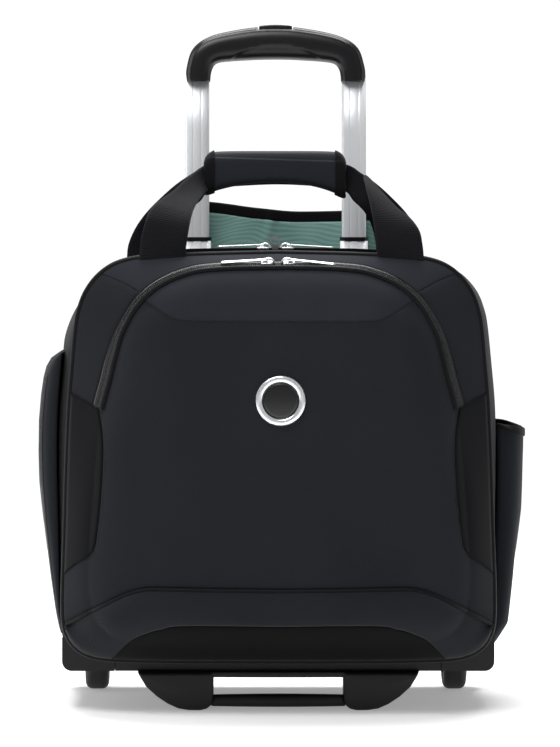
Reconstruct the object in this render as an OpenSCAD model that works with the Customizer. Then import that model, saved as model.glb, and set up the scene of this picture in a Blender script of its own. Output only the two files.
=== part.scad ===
// Under-seat rolling pilot case: soft shell on two wheels, front-opening main lid, zipped front
// pocket flap, side pockets, paired carry straps with a wrap, and a three-stage pull handle.
// +X is to the right seen from the front, the front faces -Y, +Z is up, and z = 0 is the floor.

/* [Case] */
// Half width of the case at its bottom corners
case_half = 175; // [172:0.5:178]
// Height of the front frame line at its lowest
case_low = 43; // [43:0.5:44]
// Height of the front frame line at the top of its arc
case_top_z = 376; // [375:0.5:377]
// How far the soft sides swell past the front frame
bulge = 6.5; // [5:0.5:8]
// Thickness of the case wall, board and fabric together
wall = 3; // [2.5:0.1:3.2]

/* [Wheels] */
// Wheel diameter
wheel_d = 50; // [46:1:50]
// Tyre width
tyre_w = 20; // [18:0.5:20]
// Distance of each wheel's middle from the case's middle
wheel_x = 152.3; // [152:0.1:153]

/* [Pull handle] */
// Distance of each tube's axis from the case's middle
tube_x = 67.2; // [66:0.2:68]
// Width of the slimmest tube, across the front
tube_w = 20.8; // [20:0.1:21]
// Wall of the tubes
tube_wall = 1.2; // [1:0.1:1.3]

/* [Carry handle] */
// Width of the webbing
strap_w = 38; // [36:1:38]
// Length of the grip wrap
wrap_len = 116; // [100:1:120]

/* [Hidden] */
$fn = 48;

far = 600;          // reach of cutting blocks
gap = 0.3;          // clearance between neighbours

// Depths, front to back
front_y = -118;     // foremost point, the bumper
pivot_y = -60;      // lid hinge
lid_back_y = -59.5; // rear of the lid's frame
lid_frame_y = -65;  // front of the lid's frame
bead_y = -70;       // front of the piping round it
face_y = -92;       // edge of the front face
crown_y = -111;     // middle of the front face
case_y = -49;       // front edge of the case gusset
wall_y = 83;        // front of the case's back wall
well_y = 86;        // back of it, where the tube well starts
back_y = 111.7;     // rear edge of the case gusset
panel_y = 112;      // front of the rear panel
panel_t = 4;        // thickness of the rear panel
panel_top = 410;    // top of the rear panel

// The front frame line: bottom corner, top corner and a shallow arc over the top
low_r = 38;
low_c = [case_half - low_r, case_low + low_r];
top_r = 50;
arc_r = 900;
arc_z = case_top_z - arc_r;
top_cx = case_half - 62;
top_c = [top_cx, arc_z + sqrt(pow(arc_r - top_r, 2) - pow(top_cx, 2))];
arc_a = atan2(top_c[1] - arc_z, top_cx);

// The front face line: the same way, with a flat top
face_low_c = [136, 90];
face_low_r = 34;
face_top_c = [60, 295];
face_top_r = 66;
face_top_z = face_top_c[1] + face_top_r;
face_mid_z = 210;

floor_z = 43;       // underside of the soft case
tray_z = 31;        // underside of the base tray
flap_z = 232;       // fold of the front pocket's flap
zip_end_z = 70;     // where the main zip ends on each side
band_z = 102;       // top of the bumper
lid_wall = 2.6;     // thickness of the lid's padded fabric

// Tubes
tube_d = 11.2;      // inner tube, front to back
tube_y = 98;
step_w = 3;         // growth of each larger tube
mid_w = tube_w + step_w;
mid_d = tube_d + step_w;
out_w = mid_w + step_w;
out_d = mid_d + step_w;
out_low = 49;
out_top = 342;
mid_low = 52;
mid_top = 386;
in_low = 190;
grip_low = 519.5;
grip_top = 567.5;

wheel_r = wheel_d / 2;
wheel_y = 90;
axle_r = 3;

wrap_x = -2;
wrap_y = 4;         // middle of the carry grip, front to back
wrap_low = 419;
wrap_top = 457.5;

function arc(c, r, a0, a1, n) =
    [for (i = [0:n]) let (a = a0 + (a1 - a0) * i / n) [c[0] + r * cos(a), c[1] + r * sin(a)]];

// Direction of the outward normal on the line that touches two circles, both on its inner side
function side_angle(c1, r1, c2, r2) =
    let (d = c2 - c1) atan2(d[1], d[0]) - acos((r1 - r2) / norm(d));

function drop_last(p) = [for (i = [0:len(p) - 2]) p[i]];
function both_sides(p) = concat(p, [for (i = [len(p) - 1:-1:0]) [-p[i][0], p[i][1]]]);

// The front frame line, moved inwards by inset
function outline(inset) =
    let (a = side_angle(low_c, low_r, top_c, top_r))
    both_sides(concat(
        arc(low_c, low_r - inset, -90, a, 8),
        arc(top_c, top_r - inset, a, arc_a, 10),
        arc([0, arc_z], arc_r - inset, arc_a + 1.2, 89.4, 4)));

// The front face line, moved inwards by inset
function face(inset) =
    let (a = side_angle(face_low_c, face_low_r, face_top_c, face_top_r))
    both_sides(concat(
        arc(face_low_c, face_low_r - inset, -90, a, 8),
        arc(face_top_c, face_top_r - inset, a, 90, 8)));

// Draws an outline in towards the middle of the front face
function shrink(p, k) = [for (q = p) [q[0] * k, face_mid_z + (q[1] - face_mid_z) * k]];

// Extrudes an X-Z outline from y0 back to y1
module along_y(y0, y1) {
    translate([0, y1, 0]) rotate([90, 0, 0]) linear_extrude(y1 - y0) children();
}

// Extrudes a Y-Z outline from x0 to x1
module along_x(x0, x1) {
    translate([x0, 0, 0]) rotate([90, 0, 90]) linear_extrude(x1 - x0) children();
}

// Joins flat sections, each [y, points], into one soft form
module loft(sections) {
    for (i = [0:len(sections) - 2])
        hull() {
            along_y(sections[i][0] - 0.02, sections[i][0] + 0.02) polygon(sections[i][1]);
            along_y(sections[i + 1][0] - 0.02, sections[i + 1][0] + 0.02)
                polygon(sections[i + 1][1]);
        }
}

module above(z) translate([-far, -far, z]) cube([2 * far, 2 * far, far]);
module below(z) translate([-far, -far, z - far]) cube([2 * far, 2 * far, far]);

module mirror_copy() {
    children();
    mirror([1, 0, 0]) children();
}

module rounded_bar(w, d, r, h) {
    linear_extrude(h) for (s = [-1, 1]) {
        translate([s * (w / 2 - r), 0]) circle(r);
        translate([-w / 2 + r, -d / 2]) square([w - 2 * r, d]);
    }
}

// ---------------------------------------------------------------- case
function widen(p, k) = [for (q = p) [q[0] * (1 + bulge * k / case_half), q[1]]];

module case_form(inset, y0, y1) along_y(y0, y1) polygon(widen(outline(inset), 0.8));

module housing_blocks(grow) {
    mirror_copy() translate([135.1 - grow, 60 - grow, 0])
        cube([60, 80, 57.5 + grow]);
}

module well_mouth() translate([-97, well_y + 0.5, 300]) cube([194, 60, 200]);

module case_shell() {
    difference() {
        intersection() {
            case_form(0, case_y, back_y);
            above(floor_z);
        }
        intersection() {
            case_form(wall, case_y - 1, back_y + 1);
            above(floor_z + wall);
        }
        housing_blocks(gap);
        well_mouth();
    }
}

module top_region(grow) {
    along_y(-far / 2, far / 2) polygon([[-200 - grow, 395], [-112 - grow, 340], [-60, 300],
        [60, 300], [112 + grow, 340], [200 + grow, 395], [200, 460], [-200, 460]]);
}

module case_top() color([0.10, 0.10, 0.12])
    intersection() {
        case_shell();
        top_region(0);
    }

module case_gusset() color([0.10, 0.10, 0.12])
    difference() {
        case_shell();
        top_region(gap);
    }

module inner_form(inset) {
    difference() {
        intersection() {
            case_form(wall + inset, case_y - 1, back_y + 1);
            above(floor_z + wall + inset);
        }
        housing_blocks(gap);
    }
}

module back_wall() color([0.12, 0.12, 0.14])
    intersection() {
        inner_form(gap);
        along_y(wall_y, well_y) square(2 * far, center = true);
    }

module case_lining() color([0.42, 0.62, 0.58])
    difference() {
        intersection() {
            inner_form(gap);
            along_y(case_y + 1, wall_y - gap) square(2 * far, center = true);
        }
        intersection() {
            case_form(wall + 1.5, case_y - 1, back_y + 1);
            above(floor_z + wall + 1.5);
            along_y(-far / 2, wall_y - gap - 1.2) square(2 * far, center = true);
        }
    }

module base_tray() color([0.07, 0.07, 0.08])
    difference() {
        translate([-133.5, case_y + 1, tray_z]) cube([267, back_y - case_y - 1, floor_z - gap - tray_z]);
        for (ix = [-2:2], iy = [-1:1])
            translate([ix * 52 - 24, iy * 50 + 6, tray_z - 1]) cube([48, 46, 4]);
    }

// Moulded corner with the wheel's housing in its rear end, for the right side
module corner_guard() {
    difference() {
        union() {
            difference() {
                along_y(case_y, 114) {
                    translate([134, tray_z]) square([35, 27]);
                    translate([134, tray_z + 8]) square([43, 19]);
                    translate([169, tray_z + 8]) circle(8);
                }
                along_y(-far / 2, far / 2) polygon(widen(outline(-gap), 0.8));
            }
            translate([135.4, 60.3, tray_z]) cube([41.6, 53.7, 57.2 - tray_z]);
            translate([135.4, wheel_y, wheel_r]) rotate([0, 90, 0]) cylinder(r = 9, h = 41.6);
        }
        translate([wheel_x - 11.5, wheel_y, wheel_r]) rotate([0, 90, 0])
            cylinder(r = wheel_r + 3, h = 23);
        translate([wheel_x - 11.5, wheel_y - wheel_r - 3, -1]) cube([23, 2 * wheel_r + 6, wheel_r + 1]);
        translate([137.1, wheel_y, wheel_r]) rotate([0, 90, 0]) cylinder(r = axle_r, h = 37.4);
    }
}

module corner_guard_right() color([0.07, 0.07, 0.08]) corner_guard();
module corner_guard_left() color([0.07, 0.07, 0.08]) mirror([1, 0, 0]) corner_guard();

module axles() color([0.6, 0.6, 0.62])
    mirror_copy() translate([137.1, wheel_y, wheel_r]) rotate([0, 90, 0]) cylinder(r = axle_r, h = 36.9);

// Strip that joins the lid to the case under the bottom edge
module hinge_strip() color([0.09, 0.09, 0.10])
    translate([-130, -58.9, case_low - 1.6]) cube([260, 58.9 + case_y + 1, 1.6]);

module front_stand() color([0.07, 0.07, 0.08])
    difference() {
        along_y(-60, -42) polygon([[-112, tray_z], [-107, 18], [-97, 7], [-84, 1.2], [-75, 0],
            [-64, 0], [-56, 1.6], [56, 1.6], [64, 0], [75, 0], [84, 1.2], [97, 7], [107, 18],
            [112, tray_z]]);
        along_y(-70, -30) {
            translate([-52, 18.5]) square([104, 8.5]);
            translate([-45.5, 13.5]) square([91, 8.5]);
            for (s = [-1, 1]) translate([s * 45.5, 20]) circle(6.5);
        }
        for (s = [-1, 1]) translate([s * 84, -51, 12]) cylinder(r = 4.2, h = 30);
    }

module base_screws() color([0.5, 0.5, 0.52]) {
    for (x = [-118, -40, 40, 118], y = [0, 96]) translate([x, y, tray_z - 1.4]) {
        cylinder(r = 3.5, h = 1.4);
    }
    for (s = [-1, 1]) translate([s * 84, -51, 12]) cylinder(r = 4, h = 3);
}

module rear_panel() color([0.42, 0.62, 0.58])
    along_y(panel_y, panel_y + panel_t) intersection() {
        union() {
            polygon(outline(0.5));
            translate([-98, 60]) square([196, panel_top - 9.3 - 60]);
        }
        translate([-200, 60]) square([400, 400]);
    }

module rear_panel_binding() color([0.08, 0.08, 0.09])
    along_y(panel_y - 0.5, panel_y + panel_t) polygon([[-98, panel_top - 9], [98, panel_top - 9],
        [98, panel_top - 3], [-92, panel_top + 4], [-98, panel_top + 2]]);

module tube(w, d, z0, z1) {
    for (s = [-1, 1]) translate([s * tube_x, tube_y, z0]) difference() {
        rounded_bar(w, d, d / 2 - 0.01, z1 - z0);
        translate([0, 0, -1])
            rounded_bar(w - 2 * tube_wall, d - 2 * tube_wall, d / 2 - tube_wall - 0.01, z1 - z0 + 2);
    }
}

module outer_tubes() color([0.72, 0.73, 0.75]) tube(out_w, out_d, out_low, out_top);
module mid_tubes() color([0.80, 0.81, 0.83]) tube(mid_w, mid_d, mid_low, mid_top - 3.2);
module inner_tubes() color([0.86, 0.87, 0.89]) tube(tube_w, tube_d, in_low, grip_low + 6);

module mid_collars() color([0.06, 0.06, 0.07])
    for (s = [-1, 1]) translate([s * tube_x, tube_y, mid_top - 3.2]) difference() {
        rounded_bar(mid_w + 0.8, mid_d + 0.8, mid_d / 2 + 0.39, 3.2);
        translate([0, 0, -1]) rounded_bar(tube_w + 0.6, tube_d + 0.6, tube_d / 2 + 0.29, 6);
    }

module tube_brackets() color([0.07, 0.07, 0.08]) {
    translate([-92, 88, floor_z + wall + 0.1]) cube([184, 21, out_low - floor_z - wall - 0.1]);
    difference() {
        translate([-92, 88, out_top]) cube([184, 21.5, 22]);
        for (s = [-1, 1]) translate([s * tube_x, tube_y, out_top - 1])
            rounded_bar(mid_w + 0.6, mid_d + 0.6, mid_d / 2 + 0.29, 30);
        translate([-48, 87, out_top + 8]) cube([96, 30, 30]);
    }
}

module zip_zone() {
    intersection() {
        children();
        above(zip_end_z);
    }
}

module main_zip_case_side() color([0.05, 0.05, 0.06])
    zip_zone() along_y(-54.9, case_y) difference() {
        polygon(outline(0.4));
        polygon(outline(2.4));
    }

module main_zip_lid_side() color([0.05, 0.05, 0.06])
    zip_zone() along_y(lid_back_y, -55.2) difference() {
        polygon(outline(0.4));
        polygon(outline(2.4));
    }

module lock_eyelet() color([0.75, 0.76, 0.78])
    translate([-2.6, -48.6, 383.2]) rotate([90, 0, 0]) difference() {
        union() {
            cylinder(r = 4.2, h = 1.8);
            translate([-2.5, -7.1, 0]) cube([5, 5, 1.8]);
        }
        translate([0, 0, -1]) cylinder(r = 2.5, h = 4);
    }

// Soft block on a side wall: each section is [x, y0, y1, z0, z1]
module side_block(sections) {
    for (i = [0:len(sections) - 2]) hull() for (j = [0, 1]) {
        p = sections[i + j];
        for (y = [p[1] + 6, p[2] - 6], z = [p[3] + 6, p[4] - 6])
            translate([p[0] - 0.1, y, z]) rotate([0, 90, 0]) cylinder(r = 6, h = 0.2, $fn = 16);
    }
}

module left_pocket() color([0.11, 0.12, 0.14])
    mirror([1, 0, 0]) difference() {
        side_block([[160, -38, 84, 61, 296], [186, -36, 80, 63, 284], [196, -30, 70, 80, 262],
            [201, -16, 54, 120, 232]]);
        side_block([[158, -35, 81, 64, 293], [184, -33, 77, 66, 281], [194, -27, 67, 83, 259],
            [198.6, -14, 52, 122, 230]]);
        case_form(-gap, case_y - 1, back_y + 1);
        along_x(100, 300) polygon([[-39, 100], [-37.6, 90], [-37.6, 280], [-39, 270]]);
    }

module left_pocket_zip() color([0.05, 0.05, 0.06])
    difference() {
        translate([-185.5, -40.6, 78]) cube([4.6, 2.6, 190]);
        mirror([1, 0, 0]) case_form(-gap, case_y - 1, back_y + 1);
        mirror([1, 0, 0]) side_block([[160, -38, 84, 61, 296], [186, -36, 80, 63, 284],
            [196, -30, 70, 80, 262]]);
    }

module right_form(t) {
    side_block([[162, -30 + t, 72 - t, 62 + t, 250 - t], [190 - t, -28 + t, 68 - t, 64 + t, 250 - t],
        [199 - t, -22 + t, 62 - t, 80 + t, 246 - t], [205.6 - t, -10 + t, 50 - t, 130 + t, 240 - t]]);
}

module right_cut(z_in, z_out) {
    along_y(-far / 2, far / 2) polygon([[150, z_in + 8], [210, z_out], [210, 400], [150, 400]]);
}

module right_pocket() color([0.09, 0.09, 0.11])
    difference() {
        right_form(0);
        right_form(2.2);
        case_form(-gap, case_y - 1, back_y + 1);
        translate([150, -25, 190]) cube([52, 89, 40]);
        right_cut(230, 223);
    }

// ---------------------------------------------------------------- lid
module lid_form(inset) {
    loft([[face_y, face(inset)], [bead_y - gap, outline(2 + inset)]]);
    loft([[crown_y + inset, shrink(face(inset), 0.35)], [-107.5 + inset, shrink(face(inset), 0.72)],
        [-101 + inset, shrink(face(inset), 0.93)], [face_y, face(inset)]]);
}

module lid_shell() {
    difference() {
        lid_form(0);
        lid_form(lid_wall);
        along_y(bead_y - gap - 0.2, -60) polygon(outline(2 + lid_wall));
    }
}

module region(p) along_y(-far / 2, far / 2) polygon(p);
module ring_region(a, b) along_y(-far / 2, far / 2) difference() {
    polygon(face(a));
    polygon(face(b));
}

wing_p = [[220, 280], [166, 259.5], [145, 247.5], [142, 208], [144.5, 160], [148, 135],
    [154, 128.5], [164, 122], [172, 113.5], [220, 84]];
band_p = both_sides([[220, 24], [220, 46], [171, 72], [140, 90], [124, 98], [109, band_z]]);
seam_p = [[200, 382], [143, 355], [112, 338], [90, 300], [-90, 300], [-112, 338], [-143, 355],
    [-200, 382], [-200, 460], [200, 460]];

module wings_region(grow) mirror_copy() region([for (q = wing_p)
    [q[0] - grow, q[1] + (q[1] > 200 ? grow : -grow)]]);
module band_region(grow) region([for (q = band_p) [q[0], q[1] + grow]]);

module lid_frame() color([0.09, 0.09, 0.10])
    along_y(lid_frame_y, lid_back_y) difference() {
        polygon(outline(0.6));
        polygon(outline(4));
    }

module main_piping() color([0.05, 0.05, 0.06])
    along_y(bead_y, lid_frame_y) difference() {
        polygon(outline(-0.2));
        polygon(outline(4.2));
    }

module lid_divider() color([0.42, 0.62, 0.58])
    along_y(-63.5, -61.5) polygon(outline(4));

module lid_upper() difference() {
    lid_shell();
    below(flap_z + gap);
    ring_region(-5, 300);
    along_y(-far / 2, far / 2) polygon(face(-5));
    wings_region(gap);
}

module lid_top_gusset() color([0.15, 0.15, 0.17])
    intersection() {
        lid_upper();
        region(seam_p);
    }

module lid_side_gussets() color([0.11, 0.11, 0.13])
    difference() {
        lid_upper();
        region([for (q = seam_p) [q[0], q[1] - gap]]);
    }

module lid_wings() color([0.09, 0.09, 0.10])
    intersection() {
        lid_shell();
        wings_region(0);
        difference() {
            along_y(-far / 2, far / 2) square(2 * far, center = true);
            intersection() {
                region(face(-0.7));
                above(flap_z - 0.1);
            }
        }
    }

module lid_front_panel() color([0.12, 0.12, 0.14])
    difference() {
        lid_shell();
        above(flap_z);
        wings_region(gap);
        band_region(gap);
    }

module bumper_solid() {
    intersection() {
        loft([[front_y, outline(30)], [-114, outline(17)], [-104, outline(9)],
            [bead_y - gap, outline(2.5)]]);
        band_region(0);
    }
}

insert_p = both_sides([[138, 40], [117, 62], [101, 71], [84, 74]]);

module bumper_pad() color([0.10, 0.10, 0.12])
    difference() {
        bumper_solid();
        lid_form(lid_wall);
        along_y(bead_y - gap - 0.2, -60) polygon(outline(2 + lid_wall));
        region([for (q = insert_p) [q[0] + (q[0] > 0 ? gap : -gap), q[1] + gap]]);
    }

module bumper_insert() color([0.06, 0.06, 0.07])
    intersection() {
        difference() {
            bumper_solid();
            lid_form(lid_wall);
            along_y(bead_y - gap - 0.2, -60) polygon(outline(2 + lid_wall));
        }
        region(insert_p);
    }

module lower_piping() color([0.05, 0.05, 0.06])
    difference() {
        intersection() {
            loft([[-114.5, outline(20)], [-104, outline(8)], [bead_y - gap, outline(2.2)]]);
            band_region(4);
        }
        band_region(0.01);
        lid_form(-0.02);
    }

// the lower ends of the tape are cut back so that the flap clears them as it swings
module front_zip_lid_side() color([0.05, 0.05, 0.06])
    difference() {
        intersection() {
            lid_shell();
            ring_region(-5, -0.7);
            above(flap_z + gap);
            difference() {
                along_y(-far / 2, far / 2) square(2 * far, center = true);
                wings_region(gap);
            }
        }
        intersection() {
            ring_region(-2.8, 1);
            translate([-far / 2, -far / 2, 0]) cube([far, far, flap_z + 36]);
        }
    }

module flap_zone() intersection() {
    children();
    above(flap_z + gap);
}

module front_zip_flap_side() color([0.05, 0.05, 0.06])
    flap_zone() intersection() {
        lid_shell();
        ring_region(-0.4, 0.8);
    }

module flap_piping() color([0.05, 0.05, 0.06])
    flap_zone() along_y(-96, -88) difference() {
        polygon(face(0.8));
        polygon(face(4.8));
    }

module flap_skin() flap_zone() intersection() {
    lid_shell();
    region(face(4.8));
}

yoke_p = both_sides([[200, 375], [112, 338], [82, 323], [60, 319]]);

module flap_panel() color([0.12, 0.12, 0.14])
    intersection() {
        flap_skin();
        region(concat(yoke_p, [[-200, 100], [200, 100]]));
    }

module flap_yoke() color([0.15, 0.15, 0.17])
    intersection() {
        flap_skin();
        region(concat([for (q = yoke_p) [q[0], q[1] + gap]], [[-200, 460], [200, 460]]));
    }

module emblem_ring() color([0.8, 0.81, 0.83])
    translate([1, crown_y - 0.05, 255]) rotate([90, 0, 0]) difference() {
        cylinder(r = 20, h = 2.6, $fn = 64);
        translate([0, 0, 0.8]) cylinder(r = 14.8, h = 4, $fn = 64);
    }

module emblem_inlay() color([0.07, 0.07, 0.08])
    translate([1, crown_y - 0.85, 255]) rotate([90, 0, 0]) cylinder(r = 14.7, h = 1, $fn = 64);

// ---------------------------------------------------------------- carry handle
// Webbing through stations [x, y, z, lean, turn, width]
module webbing(stations, t) {
    for (i = [0:len(stations) - 2]) hull() for (j = [0, 1]) {
        q = stations[i + j];
        translate([q[0], q[1], q[2]]) rotate([q[3], 0, 0]) rotate([0, -q[4], 0])
            cube([q[5], t, 0.2], center = true);
    }
}

front_path = [[98, -67.6, 363, 0, 0, strap_w], [97.5, -66.6, 389, 0, 2, strap_w],
    [92, -64.5, 407, -15, 18, strap_w], [80, -50, 424, -40, 42, strap_w],
    [70, -16, 434, -50, 72, 30], [61, 0.2, 437.5, 0, 90, 24], [0, 0.2, 438.5, 0, 90, 24]];
rear_path = [[102, 70, 372, 0, 0, strap_w], [101, 69, 392, 0, 2, strap_w],
    [94, 64, 408, 15, 20, strap_w], [80, 48, 424, 40, 44, strap_w],
    [70, 24, 434, 50, 72, 30], [61, 8.4, 437.5, 0, 90, 24], [0, 8.4, 438.5, 0, 90, 24]];

module front_strap() color([0.09, 0.09, 0.10])
    difference() {
        mirror_copy() webbing(front_path, 1.8);
        lid_form(-0.3);
        along_y(-75, -48) polygon(outline(-0.6));
    }

module rear_strap() color([0.08, 0.08, 0.09])
    difference() {
        mirror_copy() webbing(rear_path, 1.8);
        case_form(-gap, case_y - 1, back_y + 1);
    }

module grip_wrap() color([0.16, 0.17, 0.19])
    translate([wrap_x, wrap_y, 0]) difference() {
        along_x(-wrap_len / 2, wrap_len / 2) hull() for (dy = [-3.5, 3.5], dz = [7, -7])
            translate([dy, (dz > 0 ? wrap_top : wrap_low) - dz]) circle(7);
        translate([0, 30, 258]) rotate([90, 0, 0]) cylinder(r = 174, h = 60, $fn = 96);
        translate([-70, -5.6, 424]) cube([140, 40, 29]);
        translate([-70, 2.5, 400]) cube([140, 40, 80]);
    }

// ---------------------------------------------------------------- pull grip
module grip_outline(d) {
    difference() {
        hull() {
            for (s = [-1, 1]) {
                translate([s * 45, 530 - d]) circle(32);
                translate([s * (76.5 - 14), 548 - d]) circle(13.5);
                translate([s * 77 - 1.5, grip_low - d]) square([3, 1]);
            }
            translate([-22, grip_top - 4 - d]) square([44, 4]);
        }
        hull() {
            for (s = [-1, 1]) {
                translate([s * 47, 530]) circle(8.5);
                translate([s * 56.5 - 0.5, 400]) square([1, 1]);
            }
            translate([-20, 500]) square([40, 38.8]);
        }
        translate([-200, 400]) square([400, grip_low - 400]);
    }
}

module button_slot(g) translate([-14 - g, tube_y - 7 - g, grip_top - 8])
    cube([28 + 2 * g, 14 + 2 * g, 20]);

module grip_body() color([0.08, 0.08, 0.09])
    difference() {
        along_y(tube_y - 12, tube_y + 12) intersection() {
            grip_outline(0);
            translate([-200, 0]) square([400, grip_top - 3.2]);
        }
        for (s = [-1, 1]) translate([s * tube_x, tube_y, grip_low - 1])
            rounded_bar(tube_w, tube_d, tube_d / 2 - 0.01, 7);
        button_slot(gap);
        translate([0, tube_y, grip_top - 13]) cylinder(r = 4.5, h = 10);
    }

module grip_cover() color([0.08, 0.08, 0.09])
    difference() {
        along_y(tube_y - 12, tube_y + 12) intersection() {
            grip_outline(0);
            translate([-200, grip_top - 3.2]) square([400, 10]);
        }
        button_slot(gap);
    }

module release_button() color([0.07, 0.07, 0.08])
    intersection() {
        translate([-14, tube_y - 7, grip_top - 4.6]) cube([28, 14, 6.6]);
        translate([0, tube_y + 7.5, grip_top - 88.6]) rotate([90, 0, 0]) cylinder(r = 89.6, h = 15, $fn = 96);
    }

module button_spring() color([0.7, 0.7, 0.72])
    translate([0, tube_y, grip_top - 13]) for (i = [0:3]) translate([0, 0, 0.5 + 2.2 * i])
        rotate_extrude($fn = 24) translate([3.2, 0]) circle(0.45, $fn = 16);

// ---------------------------------------------------------------- wheels
module tyre() translate([wheel_x, wheel_y, wheel_r]) rotate([0, 90, 0]) rotate_extrude($fn = 64)
    difference() {
        union() {
            translate([16, -tyre_w / 2]) square([wheel_r - 16 - 6, tyre_w]);
            translate([16, -tyre_w / 2 + 6]) square([wheel_r - 16, tyre_w - 12]);
            for (s = [-1, 1]) translate([wheel_r - 6, s * (tyre_w / 2 - 6)]) circle(6);
        }
        translate([0, -20]) square([17.5, 40]);
    }

module hub() translate([wheel_x, wheel_y, wheel_r]) rotate([0, 90, 0]) difference() {
    union() {
        translate([0, 0, -tyre_w / 2 + 1]) cylinder(r = 17.5, h = tyre_w - 2, $fn = 64);
        translate([0, 0, -tyre_w / 2 - 0.9]) cylinder(r = 6, h = tyre_w + 1.8);
    }
    for (s = [-1, 1]) translate([0, 0, s * 6.5 - 3.5]) difference() {
        cylinder(r = 15, h = 7);
        translate([0, 0, -1]) cylinder(r = 6.5, h = 9);
        for (a = [0:60:300]) rotate([0, 0, a]) translate([0, -1.2, -1]) cube([20, 2.4, 9]);
    }
    translate([0, 0, -20]) cylinder(r = axle_r + 0.06, h = 40);
}

module tyre_right() color([0.05, 0.05, 0.05]) tyre();
module tyre_left() color([0.05, 0.05, 0.05]) mirror([1, 0, 0]) tyre();
module hub_right() color([0.12, 0.12, 0.13]) hub();
module hub_left() color([0.12, 0.12, 0.13]) mirror([1, 0, 0]) hub();

// ---------------------------------------------------------------- zip sliders
// A slider with its bridge, its pin across at pin_z, lying on z = 0, for the right side
pin_z = 3.8;
main_x = [12.5, 7.8];       // how far left and right of the middle the sliders stand
front_x = [9.8, 8.2];

module slider_form() {
    translate([-5, -3.2, 0]) cube([10, 6.4, 2]);
    for (s = [-1, 1]) translate([-1.6, s * 2.7 - 0.5, 0]) cube([3.2, 1, 4.8]);
    translate([0, 3.2, pin_z]) rotate([90, 0, 0]) cylinder(r = 0.6, h = 6.4);
}

module tab_form() {
    difference() {
        union() {
            translate([0, 1.8, pin_z]) rotate([90, 0, 0]) cylinder(r = 1.5, h = 3.6);
            translate([0, -1.8, pin_z - 0.5]) cube([37, 3.6, 1]);
        }
        translate([0, 3, pin_z]) rotate([90, 0, 0]) cylinder(r = 0.7, h = 6);
        translate([31, 0, 0]) cylinder(r = 1, h = 6);
    }
}

module main_place(x) translate([x, -55, case_top_z + 0.15]) children();
module front_place(x) translate([x, -84.3, 365.9]) rotate([29, 0, 0]) children();

module main_slider_right() color([0.75, 0.76, 0.78]) main_place(main_x[1]) slider_form();
module main_slider_left() color([0.75, 0.76, 0.78]) mirror([1, 0, 0]) main_place(main_x[0]) slider_form();
module front_slider_right() color([0.75, 0.76, 0.78]) front_place(front_x[1]) slider_form();
module front_slider_left() color([0.75, 0.76, 0.78]) mirror([1, 0, 0]) front_place(front_x[0]) slider_form();
module main_tab_right() color([0.8, 0.81, 0.83]) main_place(main_x[1]) tab_form();
module main_tab_left() color([0.8, 0.81, 0.83]) mirror([1, 0, 0]) main_place(main_x[0]) tab_form();
module front_tab_right() color([0.8, 0.81, 0.83]) front_place(front_x[1]) tab_form();
module front_tab_left() color([0.8, 0.81, 0.83]) mirror([1, 0, 0]) front_place(front_x[0]) tab_form();

case_gusset();
case_top();
back_wall();
case_lining();
base_tray();
corner_guard_left();
corner_guard_right();
front_stand();
base_screws();
rear_panel();
rear_panel_binding();
outer_tubes();
tube_brackets();
main_zip_case_side();
lock_eyelet();
left_pocket();
left_pocket_zip();
right_pocket();
hinge_strip();
axles();
rear_strap();
lid_frame();
lid_divider();
main_piping();
main_zip_lid_side();
lid_top_gusset();
lid_side_gussets();
lid_wings();
lid_front_panel();
bumper_pad();
bumper_insert();
lower_piping();
front_zip_lid_side();
front_strap();
grip_wrap();
flap_yoke();
flap_panel();
flap_piping();
front_zip_flap_side();
emblem_ring();
emblem_inlay();
mid_tubes();
mid_collars();
inner_tubes();
grip_body();
grip_cover();
release_button();
button_spring();
tyre_left();
hub_left();
tyre_right();
hub_right();
main_slider_left();
main_slider_right();
main_tab_left();
main_tab_right();
front_slider_left();
front_slider_right();
front_tab_left();
front_tab_right();
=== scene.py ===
import math
import bpy
import numpy as np
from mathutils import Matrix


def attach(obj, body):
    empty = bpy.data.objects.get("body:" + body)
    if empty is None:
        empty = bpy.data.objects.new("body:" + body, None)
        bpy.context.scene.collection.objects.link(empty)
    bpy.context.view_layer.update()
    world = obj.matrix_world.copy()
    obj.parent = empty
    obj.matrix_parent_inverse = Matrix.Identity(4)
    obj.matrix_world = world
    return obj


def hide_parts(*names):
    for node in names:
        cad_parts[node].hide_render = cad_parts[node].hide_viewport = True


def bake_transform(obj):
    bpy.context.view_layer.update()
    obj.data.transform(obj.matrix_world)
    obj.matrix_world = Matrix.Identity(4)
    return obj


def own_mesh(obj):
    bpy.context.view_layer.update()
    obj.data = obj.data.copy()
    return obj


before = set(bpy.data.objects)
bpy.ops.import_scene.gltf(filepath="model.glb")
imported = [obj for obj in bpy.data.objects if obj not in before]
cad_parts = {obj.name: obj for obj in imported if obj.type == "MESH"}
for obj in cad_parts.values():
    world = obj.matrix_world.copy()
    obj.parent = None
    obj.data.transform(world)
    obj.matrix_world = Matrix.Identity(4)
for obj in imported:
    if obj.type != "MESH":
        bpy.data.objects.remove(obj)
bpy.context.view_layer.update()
scene = bpy.context.scene

# level camera, a little left of the middle; the frame is shifted down and right instead of tilted
view = {"place": (-0.048, -3.118, 0.390), "lens": 180.7, "sensor": 36, "shift": (0.0809, -0.1888), "far": 60}
camData = bpy.data.cameras.new("camera")
cam = bpy.data.objects.new("camera", camData)
scene.collection.objects.link(cam)
cam.location = view["place"]
cam.rotation_euler = (math.radians(90), 0, 0)
camData.lens, camData.sensor_width, camData.clip_end = view["lens"], view["sensor"], view["far"]
camData.shift_x, camData.shift_y = view["shift"]
scene.camera = cam
scene.view_settings.view_transform = "Standard"

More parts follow.
